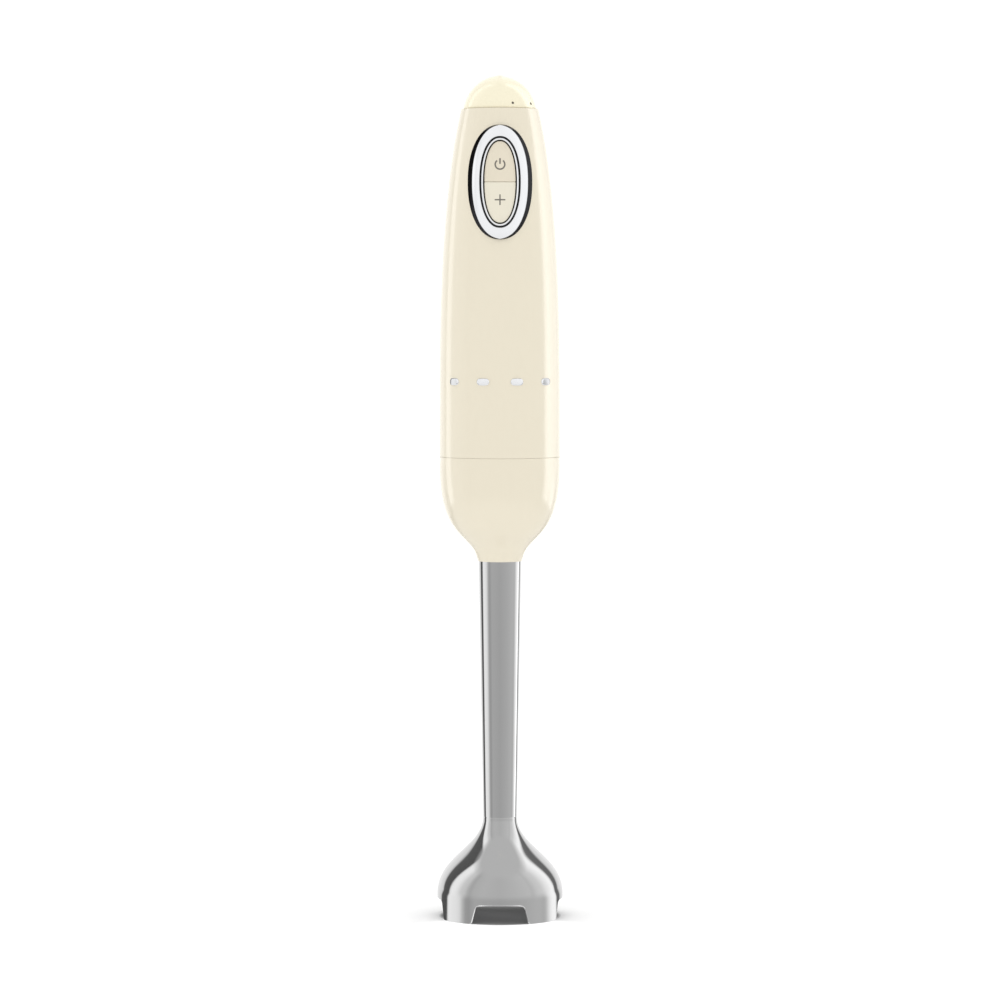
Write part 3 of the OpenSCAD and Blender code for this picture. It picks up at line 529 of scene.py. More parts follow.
def boss_rings(rim):
    """Rows that curve up from the shell into the boss, round its edge, and cross its face to the bore."""
    ring = rim - np.array([0, 0, GLAND_Z])
    ring[:, 1] = 0
    ring /= np.linalg.norm(ring, axis=1)[:, None]
    sweep = np.linspace(0, math.pi / 2, 7)[1:, None]
    hollow_r = BOSS_R + BOSS_FILLET * (1 - np.sin(sweep))
    hollow_y = rim[:, 1] + (1 - np.cos(sweep)) * np.minimum(BOSS_FILLET, GLAND_FACE - EDGE_ROUND - rim[:, 1])
    edge_r = BOSS_R - 2 * EDGE_ROUND * (1 - np.cos(sweep))
    edge_y = GLAND_FACE - 2 * EDGE_ROUND * (1 - np.sin(sweep)) + 0 * rim[:, 1]
    face_r = np.linspace(BOSS_R - 2 * EDGE_ROUND, BOSS_BORE, 4)[1:, None]
    radius = np.concatenate([hollow_r, edge_r, face_r])[..., None]
    y = np.concatenate([hollow_y, edge_y, np.full((3, len(rim)), GLAND_FACE)])
    rows = ring * radius + np.array([0, 0, GLAND_Z])
    rows[..., 1] = y
    return rows


def block_round(x, z, half_size):
    """Lattice cells to leave out round a hole drilled along y."""
    turn = BACK - math.asin(x / float(handle_radius(z)))
    spread = half_size / float(handle_radius(z)) / math.cos(turn - BACK)
    return turn - spread, turn + spread, z - half_size, z + half_size


SLOT_MARGIN, WELL_BLOCK, BOSS_BLOCK = 1.2 * MM, 4.2 * MM, 11.5 * MM
slot_spread = 2.0 * SLOT_HALF_W / HANDLE_R
holes = [
    (t - slot_spread, t + slot_spread, SLOT_Z - SLOT_HALF_H - SLOT_MARGIN,
     SLOT_Z + SLOT_HALF_H + SLOT_MARGIN, slot_outline(t), None)
    for t in SLOT_TURNS
]
holes += [
    (*block_round(x, WELL_Z, WELL_BLOCK), round_hole(x, WELL_Z, WELL_R), well_rings)
    for x in (WELL_X, -WELL_X)
]
boss_hole = round_hole(0, GLAND_Z, BOSS_R + BOSS_FILLET)
holes.append((*block_round(0, GLAND_Z, BOSS_BLOCK), boss_hole, boss_rings))
rear_turns = lines([0, math.pi, *[t for hole in holes for t in hole[:2]]], TURN_STEP)
rear_heights = lines([HANDLE_FOOT, SHELL_TOP, *[z for hole in holes for z in hole[2:4]]], HEIGHT_STEP)
points, faces = pierced_sheet(rear_turns, rear_heights, holes)
rear_shell = make_piece(
    "rear_shell_skin", points, faces, "motor_body", cream_moulding, ["rear_shell"])
give_wall(rear_shell, SHELL_WALL, SHELL_EDGE)


# ---- Speed dial ----
# A thin cream dome, moulded in one piece with a skirt that drops inside the handle's top edge. It
# turns on the potentiometer's spindle. Six printed dots round its foot grow from slow to fast.

dial_low, dial_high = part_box("speed_dial")
DIAL_R = dial_high.x
DIAL_FOOT = dial_low.z + 2.2 * MM
DIAL_TOP = dial_high.z
DOME_SINK = 2.6 * MM  # the dome's ellipse is centred this far under its foot
DIAL_WALL = 2.0 * MM
SKIRT_IN, SKIRT_OUT = 0.0132, 0.0146
DIAL_CREAM = (242, 235, 209)
DOT_INK = (92, 84, 72)
DOT_HEIGHT = 2.2 * MM
FIRST_DOT, DOT_STEP, DOTS = math.radians(-69.3), math.radians(38), 6
DOT_SMALL, DOT_LARGE = 0.6 * MM, 0.85 * MM
INK_LIFT = 0.03 * MM


def turned_piece(name, profile, body, material, replaces=(), sides=160, place=None):
    """Surface of revolution: each (radius, height) of the closed profile carried round the z axis. It
    runs with the material on its left. A radius of 0 is a pole, closed by a fan."""
    radius, height = np.array(profile, float).T
    pole = radius < 1e-9
    start = np.concatenate([[0], np.cumsum(np.where(pole, 1, sides))])
    angle = np.linspace(0, 2 * math.pi, sides, endpoint=False)
    around = [np.outer(radius, np.cos(angle)), np.outer(radius, np.sin(angle)), np.outer(height, angle**0)]
    rows = zip(np.stack(around, -1), pole)
    points = np.concatenate([row[:1] if at_pole else row for row, at_pole in rows])
    i = np.arange(len(radius))
    i = i[~(pole[i] & pole[(i + 1) % len(radius)])]
    following = (i + 1) % len(radius)
    j = np.arange(sides)

    def index(row, column):
        return start[row][:, None] + np.where(pole[row][:, None], 0, column % sides)

    quads = np.stack([index(i, j), index(i, j + 1), index(following, j + 1), index(following, j)], -1)
    first, last = pole[i], pole[following]
    faces = quads[~first & ~last].reshape(-1, 4).tolist()
    faces += quads[first][..., [0, 2, 3]].reshape(-1, 3).tolist()
    faces += quads[last][..., [0, 1, 2]].reshape(-1, 3).tolist()
    return make_piece(name, place(points) if place else points, faces, body, material, replaces)


def rounded(corners, radius, steps=4):
    """The corners joined by straight lines, each corner replaced by an arc of that radius or of
    what its sides leave room for. A corner may carry a radius of its own as a third number."""
    given = [(np.array(c[:2], float), c[2] if len(c) > 2 else radius) for c in corners]
    path = []
    for k, (corner, r) in enumerate(given):
        before, after = given[k - 1][0] - corner, given[(k + 1) % len(given)][0] - corner
        a, b = np.linalg.norm(before), np.linalg.norm(after)
        before, after = before / a, after / b
        half_angle = math.acos(np.clip(before @ after, -1, 1)) / 2
        reach = min(r / math.tan(half_angle), 0.45 * a, 0.45 * b) if half_angle > 1e-3 else 0
        if r <= 0 or reach <= 1e-9 or half_angle > math.pi / 2 - 1e-3:
            path.append(corner)
            continue
        r = reach * math.tan(half_angle)
        middle = corner + (before + after) / np.linalg.norm(before + after) * math.hypot(r, reach)
        spoke_a, spoke_b = corner + before * reach - middle, corner + after * reach - middle
        span = math.acos(np.clip(spoke_a @ spoke_b / r**2, -1, 1))
        for t in np.linspace(0, 1, steps + 1):
            spoke = math.sin((1 - t) * span) * spoke_a + math.sin(t * span) * spoke_b
            path.append(middle + spoke / math.sin(span))
    return path


def dome_radius(z, grow=0.0):
    """Ellipse of revolution: a times the root of 1 - (height / b)^2, with a such that it reaches
    DIAL_R at the foot."""
    b = DIAL_TOP - DIAL_FOOT + DOME_SINK + grow
    a = (DIAL_R + grow) / math.sqrt(1 - (DOME_SINK / b) ** 2)
    return a * np.sqrt(np.clip(1 - ((z - DIAL_FOOT + DOME_SINK) / b) ** 2, 0, 1))


def dome_side(grow, steps):
    """Heights spread by the sine, so that the rows crowd towards the top."""
    top = DIAL_TOP + grow
    z = DIAL_FOOT + (top - DIAL_FOOT) * np.sin(np.linspace(0, math.pi / 2, steps))
    r = dome_radius(z, grow)
    r[-1] = 0
    return list(zip(r, z))


dial_moulding = finish_of("dial_moulding", DIAL_CREAM, roughness=0.2, spread=0.05, tint=0.02, bump=0.03)
skirt = rounded([
    (SKIRT_IN, DIAL_FOOT + 1.5 * MM), (SKIRT_IN, dial_low.z), (SKIRT_OUT, dial_low.z),
    (SKIRT_OUT, DIAL_FOOT, 0.05 * MM), (DIAL_R, DIAL_FOOT, 0.35 * MM),
    (float(dome_radius(DIAL_FOOT + MM)), DIAL_FOOT + MM, 0)], 0.3 * MM)[2:]
outer = [p for p in dome_side(0, 48) if p[1] > DIAL_FOOT + 1.02 * MM]
inner = [p for p in dome_side(-DIAL_WALL, 24) if p[1] > DIAL_FOOT + 1.6 * MM]
dome_profile = [*skirt, *outer, *inner[::-1]]
dome = turned_piece(
    "speed_dial_dome", dome_profile, "speed_dial", dial_moulding, ["speed_dial"])
for moulding in [front_shell, rear_shell, dome]:
    cream_pieces.objects.link(moulding)

dot_ink = finish_of("dot_ink", DOT_INK, roughness=0.5, tint=0.2, slow=400.0)
for number in range(DOTS):
    around = FIRST_DOT + number * DOT_STEP
    size = DOT_SMALL + (DOT_LARGE - DOT_SMALL) * number / (DOTS - 1)

    def on_dome(points, around=around):
        """Lays a flat disc of (x, y, lift) on the dome: x along its girth, y up it."""
        z = DIAL_FOOT + DOT_HEIGHT + points[:, 1]
        turn = around + points[:, 0] / dome_radius(DIAL_FOOT + DOT_HEIGHT)
        return polar(dome_radius(z) + points[:, 2], turn, z)

    disc = [(0, -INK_LIFT), (size, -INK_LIFT), (size, INK_LIFT * 0.5), (size - 0.05 * MM, INK_LIFT),
            (size / 2, INK_LIFT), (0, INK_LIFT)]
    name = f"dial_dot_{number + 1}"
    turned_piece(name, disc, "speed_dial", dot_ink, sides=24, place=on_dome)


# ---- Button bezel and its inner lip ----
# A chrome-plated oval ring, pressed into the shell's opening. Its flank slopes out from the shell and
# is dark metal, a painted reflection; its face follows the handle. A thinner ring inside it leaves a
# groove on each side, lined with black as painted shade.

FACE_PROUD = 1.45 * MM
FLANK, FLANK_LEAST, FLANK_POWER = 2.15 * MM, 0.25 * MM, 0.8
FACE_IN = 5.5 * MM
LIP_OUT, LIP_IN = 6.35 * MM, 7.25 * MM
LIP_PROUD, LIP_FOOT = 0.95 * MM, -4 * MM


def on_handle(x, z, proud):
    """Point in front of the handle at x and z: y is minus the root of (R(z) + proud)^2 - x^2."""
    return np.stack([x, -np.sqrt((handle_radius(z) + proud) ** 2 - x**2), z], -1)


def oval_ring(name, section, body, material, replaces, around=288, painted_reflection_finish=None):
    """A closed section of (inset from the bezel's outer oval, proud of the handle), carried round the
    oval. Given a finish for a painted reflection, the part of the section out to FLANK gets it as a
    painted dark reflection, and its width follows |cos a| ^ 0.8, from FLANK at the sides to FLANK_LEAST
    at the top and bottom."""
    inset, proud = np.array(section).T[..., None]
    angle = np.linspace(0, 2 * math.pi, around, endpoint=False)
    on_flank = (inset < FLANK - 0.04 * MM) & (proud > 0)
    if painted_reflection_finish:
        flank = FLANK_LEAST + (FLANK - FLANK_LEAST) * np.abs(np.cos(angle)) ** FLANK_POWER
        past = flank + (inset - FLANK) * (FACE_IN - flank) / (FACE_IN - FLANK)
        inset = np.where(inset < FLANK, inset * flank / FLANK, past)
    x, z = oval(angle, inset)
    points = on_handle(x, z, proud)
    faces = hoop_faces(len(section), around, closed=True)
    ring = make_piece(name, points, faces, body, material, replaces)
    if painted_reflection_finish:
        ring.data.materials.append(painted_reflection_finish)
        second_finish = np.repeat(on_flank & np.roll(on_flank, -1, axis=0), around)
        ring.data.polygons.foreach_set("material_index", second_finish.astype(np.int32))
    return ring


chrome_plating = finish_of(
    "chrome_plating", (244, 245, 247), metallic=1.0, roughness=0.07, spread=0.03, tint=0.01, slow=60.0,
    fine=1500.0, bump=0.01)
bezel_section = rounded([
    (0, 0.02 * MM, 0), (0.06 * MM, 0.06 * MM, 0), (FLANK / 2, 0.70 * MM, 0),
    (FLANK - 0.08 * MM, FACE_PROUD - 0.08 * MM, 0),
    (FLANK + 0.05 * MM, FACE_PROUD, 0.3 * MM), ((FLANK + FACE_IN) / 2, FACE_PROUD + 0.15 * MM, 4 * MM),
    (FACE_IN, FACE_PROUD, 0.35 * MM), (FACE_IN + 0.15 * MM, -3.5 * MM, 0), (4 * MM, -3.5 * MM, 0),
    (3.9 * MM, -0.1 * MM, 0)], 0.2 * MM, steps=6)
# A painted reflection: the bezel's flank is dark metal, widest at the sides of the oval.
flank_painted_reflection = finish_of(
    "flank_painted_reflection", (46, 46, 48), metallic=1.0, roughness=0.16, spread=0.04, tint=0.05, slow=60.0,
    fine=1500.0, bump=0.01)
bezel_ring = oval_ring(
    "bezel_ring", bezel_section, "motor_body", chrome_plating, ["bezel"],
    painted_reflection_finish=flank_painted_reflection)
lip_section = rounded([
    (LIP_OUT, LIP_PROUD), (LIP_IN, LIP_PROUD), (LIP_IN, LIP_FOOT, 0), (LIP_OUT, LIP_FOOT, 0)], 0.3 * MM,
    steps=5)
button_lip = oval_ring(
    "button_lip", lip_section, "motor_body", chrome_plating, ["button_frame"])

# A wide lamp above the camera's line, which only the chrome trim reflects
FRONT_LAMP_PLACE, FRONT_LAMP_AIM = (0, -0.65, 0.5), (0, 0, 0.35)
FRONT_LAMP_W, FRONT_LAMP_H, FRONT_LAMP_GLOW = 6.4, 1.2, 0.48
chrome_trims = bpy.data.collections.new("chrome_trims")
hang_lamp(
    "front_lamp", FRONT_LAMP_PLACE, FRONT_LAMP_AIM, FRONT_LAMP_W, FRONT_LAMP_H, FRONT_LAMP_GLOW, chrome_trims)

# Painted shade: a black liner at the foot of the groove between the two rings, and of the gap inside the
# inner one
GROOVE_TOP, GROOVE_FOOT, GROOVE_LAP = -1.4 * MM, -2.2 * MM, 0.1 * MM
black_moulding_and_painted_shade = finish_of(
    "black_moulding_and_painted_shade", (34, 33, 32), roughness=0.5, spread=0.1, tint=0.15, fine=1400.0, bump=0.15)
groove_section = [(FACE_IN - GROOVE_LAP, GROOVE_TOP), (LIP_IN + GROOVE_LAP, GROOVE_TOP),
                  (LIP_IN + GROOVE_LAP, GROOVE_FOOT), (FACE_IN - GROOVE_LAP, GROOVE_FOOT)]
oval_ring("groove_painted_shade", groove_section, "motor_body", black_moulding_and_painted_shade, [])


# ---- Buttons ----
# Two satin cream caps share the oval, parted by a fine gap. Each is hollow, with a rounded edge and
# a slight crown, and carries one printed symbol: power above, plus below.

BUTTON_IN = 7.85 * MM
BUTTON_SPLIT = 0.06 * MM
CORNER = 0.4 * MM
CAP_PROUD, CAP_CROWN = 0.2 * MM, 0.25 * MM
CAP_DEPTH = 4.2 * MM
CAP_EDGE, CAP_WALL = 0.3 * MM, 1.2 * MM
POWER_CREAM, TURBO_CREAM = (224, 215, 195), (229, 223, 205)
MARK_INK = (116, 112, 104)
POWER_STROKE, PLUS_STROKE = 0.7 * MM, 0.62 * MM
SYMBOL_RISE = 8.5 * MM


def cap_outline(up, count=180):
    """Half of the buttons' oval above or below the split, with round corners, as evenly spaced points."""
    w = BEZEL_W - BUTTON_IN
    low = BUTTON_SPLIT + CORNER
    start = math.asin((low / (BEZEL_H - BUTTON_IN)) ** (1 / OVAL_POWER))
    x, z = oval(np.linspace(start, math.pi - start, 200), BUTTON_IN)
    left = math.pi + np.linspace(0, math.pi / 2, 12)
    right = left + math.pi / 2
    side = x[0] - CORNER
    x = np.concatenate([x, -side + CORNER * np.cos(left), side + CORNER * np.cos(right)])
    z = np.concatenate([z - BLOCK_Z, low + CORNER * np.sin(left), low + CORNER * np.sin(right)])
    x, z = np.append(x, x[0]), np.append(z, z[0])
    run = np.concatenate([[0], np.cumsum(np.hypot(np.diff(x), np.diff(z)))])
    even = np.linspace(0, run[-1], count, endpoint=False)
    x, z = np.interp(even, run, x), np.interp(even, run, z)
    if up < 0:
        x, z = x[::-1], -z[::-1]
    return np.stack([x, z + BLOCK_Z], -1)


def crown(x, z, up):
    """Proudness of a cap's face: highest near its middle, falling off with the square of the distance."""
    far = (x / 8 / MM) ** 2 + ((z - BLOCK_Z - up * 9 * MM) / 11 / MM) ** 2
    return CAP_PROUD + CAP_CROWN * np.clip(1 - far, 0, 1) - CAP_CROWN / 2


def make_cap(name, up, body, material, node):
    """The outline stepped inwards along its normals over the rounded edge, then shrunk to a point,
    with an inner skin offset from it to close the hollow."""
    rim = cap_outline(up)
    ahead = np.roll(rim, -1, axis=0) - np.roll(rim, 1, axis=0)
    inward = np.stack([-ahead[:, 1], ahead[:, 0]], -1) / np.linalg.norm(ahead, axis=1)[:, None]
    centre = np.array([0, BLOCK_Z + up * 8 * MM])
    shape = [(0.0, -CAP_DEPTH), (0.0, -2 * MM)]
    for s in np.linspace(0, math.pi / 2, 7):
        shape.append((CAP_EDGE * (1 - math.cos(s)), -CAP_EDGE * (1 - math.sin(s))))
    rows = [(rim + inward * step, drop) for step, drop in shape]
    last = rows[-1][0]
    rows += [(centre + (last - centre) * f, 0.0) for f in np.linspace(1, 0.06, 16)[1:]]
    flat = np.stack([r for r, _ in rows])
    proud = crown(flat[..., 0], flat[..., 1], up) + np.array([d for _, d in rows])[:, None]
    points = on_handle(flat[..., 0], flat[..., 1], proud)
    count = len(rim)
    last_hoop, tip = (len(rows) - 1) * count, len(rows) * count
    faces = hoop_faces(len(rows), count) + fan_faces(last_hoop, count, tip)
    points = np.concatenate([points.reshape(-1, 3), [points[-1].mean(0)]])
    cap = make_piece(name, points, faces, body, material, [node])
    give_wall(cap, CAP_WALL)


power_satin, turbo_satin = [
    finish_of(name, cream, roughness=0.38, spread=0.06, tint=0.02, fine=2500.0, bump=0.12)
    for name, cream in [("power_satin", POWER_CREAM), ("turbo_satin", TURBO_CREAM)]
]
make_cap("power_cap", 1, "power_button", power_satin, "power_button")
make_cap("turbo_cap", -1, "turbo_button", turbo_satin, "turbo_button")


def printed_stroke(name, path, width, up, body, material):
    """A stroke of ink of constant width along a path of (x, height) points, laid on a cap's face."""
    path = np.array(path)
    ahead = np.gradient(path, axis=0)
    normal = np.stack([-ahead[:, 1], ahead[:, 0]], -1) / np.linalg.norm(ahead, axis=1)[:, None]
    side = normal * width / 2
    top = np.stack([path - side, path + side], 1)
    flat = np.concatenate([top, top[:, ::-1]], 1)
    lift = np.array([INK_LIFT, INK_LIFT, -INK_LIFT, -INK_LIFT])
    points = on_handle(flat[..., 0], flat[..., 1], crown(flat[..., 0], flat[..., 1], up) + lift)
    faces = hoop_faces(len(path), 4, flip=True)
    end = 4 * (len(path) - 1)
    faces += [[0, 1, 2, 3], [end + 3, end + 2, end + 1, end]]
    return make_piece(name, points, faces, body, material)


mark_ink = finish_of("mark_ink", MARK_INK, roughness=0.55, tint=0.1, slow=300.0)
gap_half = math.radians(38)
swing = np.linspace(math.pi / 2 + gap_half, math.pi / 2 + 2 * math.pi - gap_half, 60)
RING_R = 2.25 * MM
symbol_z = BLOCK_Z + SYMBOL_RISE - 0.3 * MM
ring_path = np.stack([RING_R * np.cos(swing), symbol_z + RING_R * np.sin(swing)], -1)
printed_stroke("power_mark_ring", ring_path, POWER_STROKE, 1, "power_button", mark_ink)
bar = np.linspace(symbol_z + 0.2 * MM, symbol_z + 2.9 * MM, 12)
printed_stroke("power_mark_bar", np.stack([0 * bar, bar], -1), POWER_STROKE, 1, "power_button", mark_ink)
symbol_z = BLOCK_Z - SYMBOL_RISE + 0.1 * MM
arm = np.linspace(-2.5 * MM, 2.5 * MM, 16)
plus_arms = {"plus_mark_upright": (0 * arm, symbol_z + arm), "plus_mark_level": (arm, symbol_z + 0 * arm)}
for name, across_and_up in plus_arms.items():
    printed_stroke(name, np.stack(across_and_up, -1), PLUS_STROKE, -1, "turbo_button", mark_ink)


# ---- Front trim ----
# Four plain chrome pills in a row round the front of the handle, each sunk a little into the shell.

trim_low, trim_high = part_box("front_trim")
TRIM_Z = (trim_low.z + trim_high.z) / 2
PILL_HALF_W, PILL_HALF_H = 3.1 * MM, 1.75 * MM
PILL_PROUD = 0.55 * MM
PILL_TURNS = [FRONT + math.radians(a) for a in (-48, -16, 16, 48)]


def make_pill(name, turn):
    """Outline with round ends, shrunk by the cosine while it rises by the sine; its back is a flat fan."""
    around = np.linspace(0, 2 * math.pi, 64, endpoint=False)
    rise = np.linspace(0, math.pi / 2, 9)
    shrink = np.concatenate([[0, 1], 1 - 0.35 * (1 - np.cos(rise[1:])), [0.3, 0]])
    proud = np.concatenate([[-0.6, -0.6], 0.2 + 0.8 * np.sin(rise[1:]), [1.06, 1.08]]) * PILL_PROUD
    straight = (PILL_HALF_W - PILL_HALF_H) * np.clip(2.5 * np.cos(around), -1, 1)
    points = np.stack([shrink[:, None] * (PILL_HALF_H * np.cos(around) + straight),
                       shrink[:, None] * PILL_HALF_H * np.sin(around), proud[:, None] + 0 * around], -1)
    flat = np.concatenate([points[0, :1], points[1:-1].reshape(-1, 3), points[-1, :1]])
    count = len(around)
    faces = hoop_faces(len(shrink) - 2, count, first=1)
    faces += [face[::-1] for face in fan_faces(1, count, 0)]
    faces += fan_faces(1 + (len(shrink) - 3) * count, count, len(flat) - 1)
    placed = round_handle(turn + flat[:, 0] / HANDLE_R, TRIM_Z + flat[:, 1], flat[:, 2])
    return make_piece(name, placed, faces, "motor_body", chrome_plating)


pills = [make_pill(f"trim_pill_{number + 1}", turn) for number, turn in enumerate(PILL_TURNS)]
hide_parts("front_trim")
for trim in [bezel_ring, button_lip, *pills]:
    chrome_trims.objects.link(trim)


# ---- Cord gland ----
# A soft black rubber grommet in the boss at the back, open where the mains cord goes in.

GLAND_BORE, NECK_R, FLANGE_R, GLAND_HEAD_R = 3.6 * MM, 5.2 * MM, 6.4 * MM, 7.2 * MM


def along_y(points):
    """Turns a piece made round z so that its axis runs along +y at the gland's height."""
    return np.stack([points[:, 0], points[:, 2], GLAND_Z - points[:, 1]], -1)


soft_rubber = finish_of(
    "soft_rubber", (38, 37, 36), roughness=0.62, spread=0.15, tint=0.25, fine=1200.0, bump=0.3)
flange, seat = gland_low.y + 1.7 * MM, GLAND_FACE + 0.1 * MM
gland_profile = rounded([
    (GLAND_BORE, gland_low.y), (FLANGE_R, gland_low.y), (FLANGE_R, flange), (NECK_R, flange),
    (NECK_R, seat), (GLAND_HEAD_R, seat), (GLAND_HEAD_R, gland_high.y, 0.8 * MM),
    (GLAND_BORE, gland_high.y, 0.8 * MM)], 0.3 * MM)
turned_piece(
    "cord_grommet", gland_profile, "motor_body", soft_rubber, ["cord_gland"], 96, along_y)


# ---- Arm collar ----
# The cream moulding at the top of the arm: it closes on to the handle with a fine joint, curves in
# to the tube, and carries the spigot with its three bayonet lugs and the groove of its O-ring.

collar_low, collar_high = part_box("arm_collar")
COLLAR_TOP = HANDLE_FOOT - 0.06 * MM
TUBE_TOP_R = 10.1 * MM
SPIGOT_R, SPIGOT_BORE = 21.2 * MM, 18.6 * MM
SEAL_R, SEAL_LOW, SEAL_HIGH = 19.9 * MM, COLLAR_TOP + 1.7 * MM, COLLAR_TOP + 3.3 * MM  # the O-ring's groove
LUG_R, LUG_FOOT, LUG_HALF_TURN = 23.3 * MM, SPIGOT_R - 0.5 * MM, math.radians(11)
LUG_LOW, LUG_HIGH, LUG_STEPS = COLLAR_TOP + 7.1 * MM, COLLAR_TOP + 10.1 * MM, 12


def cubic(controls, steps):
    """Cubic curve: (1-t)^3 a + 3 (1-t)^2 t b + 3 (1-t) t^2 c + t^3 d."""
    t = np.linspace(0, 1, steps)[:, None]
    a, b, c, d = np.array(controls, float)
    return (1 - t) ** 3 * a + 3 * (1 - t) ** 2 * t * b + 3 * (1 - t) * t**2 * c + t**3 * d


collar_side = cubic([
    (HANDLE_R - 0.04 * MM, COLLAR_TOP), (HANDLE_R + MM, COLLAR_TOP - 41.4 * MM),
    (13 * MM, COLLAR_TOP - 35.4 * MM), (TUBE_TOP_R + 0.6 * MM, collar_low.z)], 64)
collar_hollow = cubic([
    (HANDLE_R - 2.6 * MM, COLLAR_TOP - 2.9 * MM), (HANDLE_R - 1.6 * MM, COLLAR_TOP - 37.9 * MM),
    (12 * MM, COLLAR_TOP - 31.9 * MM), (TUBE_TOP_R + 0.2 * MM, COLLAR_TOP - 42.9 * MM)], 32)
profile = [
    *collar_side[::-1][2:-1],
    *rounded([
        collar_side[-3], (*collar_side[0], 0.12 * MM), (SPIGOT_R, COLLAR_TOP), (SPIGOT_R, SEAL_LOW, 0.1 * MM),
        (SEAL_R, SEAL_LOW), (SEAL_R, SEAL_HIGH), (SPIGOT_R, SEAL_HIGH, 0.1 * MM),
        (SPIGOT_R, collar_high.z, 0.6 * MM), (SPIGOT_BORE, collar_high.z),
        (SPIGOT_BORE, COLLAR_TOP - 2.5 * MM), (HANDLE_R - 2.6 * MM, COLLAR_TOP - 2.5 * MM),
    ], EDGE_ROUND)[5:-5],
    *collar_hollow, (TUBE_TOP_R + 0.05 * MM, COLLAR_TOP - 43 * MM),
    (TUBE_TOP_R + 0.05 * MM, collar_low.z + 0.1 * MM),
    (TUBE_TOP_R + 0.15 * MM, collar_low.z), (TUBE_TOP_R + 0.45 * MM, collar_low.z)]
collar = turned_piece("collar_skin", profile, "arm", cream_moulding, ["arm_collar"])
cream_pieces.objects.link(collar)


def make_lug(name, turn):
    """A block bent round the spigot: a closed loop of (radius, height) swept through the lug's angle."""
    corners = [(LUG_FOOT, LUG_LOW), (LUG_R, LUG_LOW), (LUG_R, LUG_HIGH), (LUG_FOOT, LUG_HIGH)]
    loop = np.array(rounded(corners, EDGE_ROUND))
    sweep = turn + np.linspace(-1, 1, LUG_STEPS + 1)[:, None] * LUG_HALF_TURN
    points = polar(loop[:, 0], sweep, loop[:, 1])
    count = len(loop)
    end = LUG_STEPS * count
    faces = hoop_faces(LUG_STEPS + 1, count, flip=True)
    faces += [list(range(count)), list(range(end, end + count))[::-1]]
    return make_piece(name, points, faces, "arm", cream_moulding)


for number in range(3):
    make_lug(f"bayonet_lug_{number + 1}", math.radians(120 * number))


# ---- Arm tube ----
# A drawn stainless tube, tapering to the guard, mirror polished. The faint lines run along it.

tube_low, tube_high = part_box("arm_tube")
TUBE_FOOT_R = 8.0 * MM
TUBE_WALL = 1.0 * MM
POLISH_RELIEF = 0.02 * MM


def add_polish_lines(material, stretch, strength, roughness, spread):
    """Fine lines left by polishing: noise stretched along the axes given, into roughness and relief."""
    tree = material.node_tree
    drawn = add_node(tree, "Mapping", {"Vector": add_node(tree, "TexCoord")["Object"], "Scale": stretch})[0]
    grain = add_node(
        tree, "TexNoise", {"Vector": drawn, "Scale": 1.0, "Detail": 4.0, "Roughness": 0.6})["Fac"]
    feed(tree, tree.nodes["Principled BSDF"], {
        "Roughness": remap(tree, grain, 0.25, 0.75, roughness - spread, roughness + spread),
        "Normal": relief(tree, strength, POLISH_RELIEF, grain)})


polished_steel = finish_of(
    "polished_steel", (240, 240, 240), metallic=1.0, roughness=0.07, tint=0.02, slow=30.0)
add_polish_lines(polished_steel, (3000.0, 3000.0, 40.0), 0.03, 0.07, 0.025)
tube_profile = [
    (TUBE_FOOT_R - TUBE_WALL, tube_low.z), (TUBE_FOOT_R, tube_low.z),
    *zip(np.linspace(TUBE_FOOT_R, TUBE_TOP_R, 12)[1:], np.linspace(tube_low.z, collar_low.z, 12)[1:]),
    (TUBE_TOP_R, tube_high.z), (TUBE_TOP_R - TUBE_WALL, tube_high.z), (TUBE_TOP_R - TUBE_WALL, collar_low.z)]
tube = turned_piece("arm_tube_skin", tube_profile, "arm", polished_steel, ["arm_tube"])


# ---- Blade guard ----
# A bell spun from steel sheet and polished like the tube it is welded to. Four windows with round
# upper corners are cut in its rim, and the cut edge is rounded so that it catches the light.

GUARD_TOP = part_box("blade_guard")[1].z
GUARD_R = 30.0 * MM
GUARD_WALL = 1.2 * MM
GUARD_EDGE = 0.22 * MM
RIM_FLARE, SKIRT_H = 0.15 * MM, 12 * MM
WINDOW_H, WINDOW_TOP, WINDOW_FOOT = 9.2 * MM, 12.2 * MM, 13.6 * MM
WINDOW_CORNER, WINDOW_FLARE = 3.0 * MM, 1.3 * MM
GUARD_ROWS = 72


def window_edge():
    """Right half of a window's outline from its foot inwards, as (x, height): a flared foot, a sloping
    side, a round corner and the level top."""
    foot = np.radians(np.linspace(270, 190, 8))
    flare = np.stack([WINDOW_FOOT + WINDOW_FLARE * (1 + np.cos(foot)), WINDOW_FLARE * (1 + np.sin(foot))], -1)
    turn = np.radians(np.linspace(8, 90, 9))
    inwards, upwards = WINDOW_CORNER * (np.cos(turn) - 1), WINDOW_CORNER * (np.sin(turn) - 1)
    corner = np.stack([WINDOW_TOP + inwards, WINDOW_H + upwards], -1)
    side = flare[-1] + (corner[0] - flare[-1]) * np.linspace(0, 1, 6)[1:-1, None]
    top = np.linspace(corner[-1, 0], 0, 14)[1:]
    return np.concatenate([flare, side, corner, np.stack([top, 0 * top + WINDOW_H], -1)])


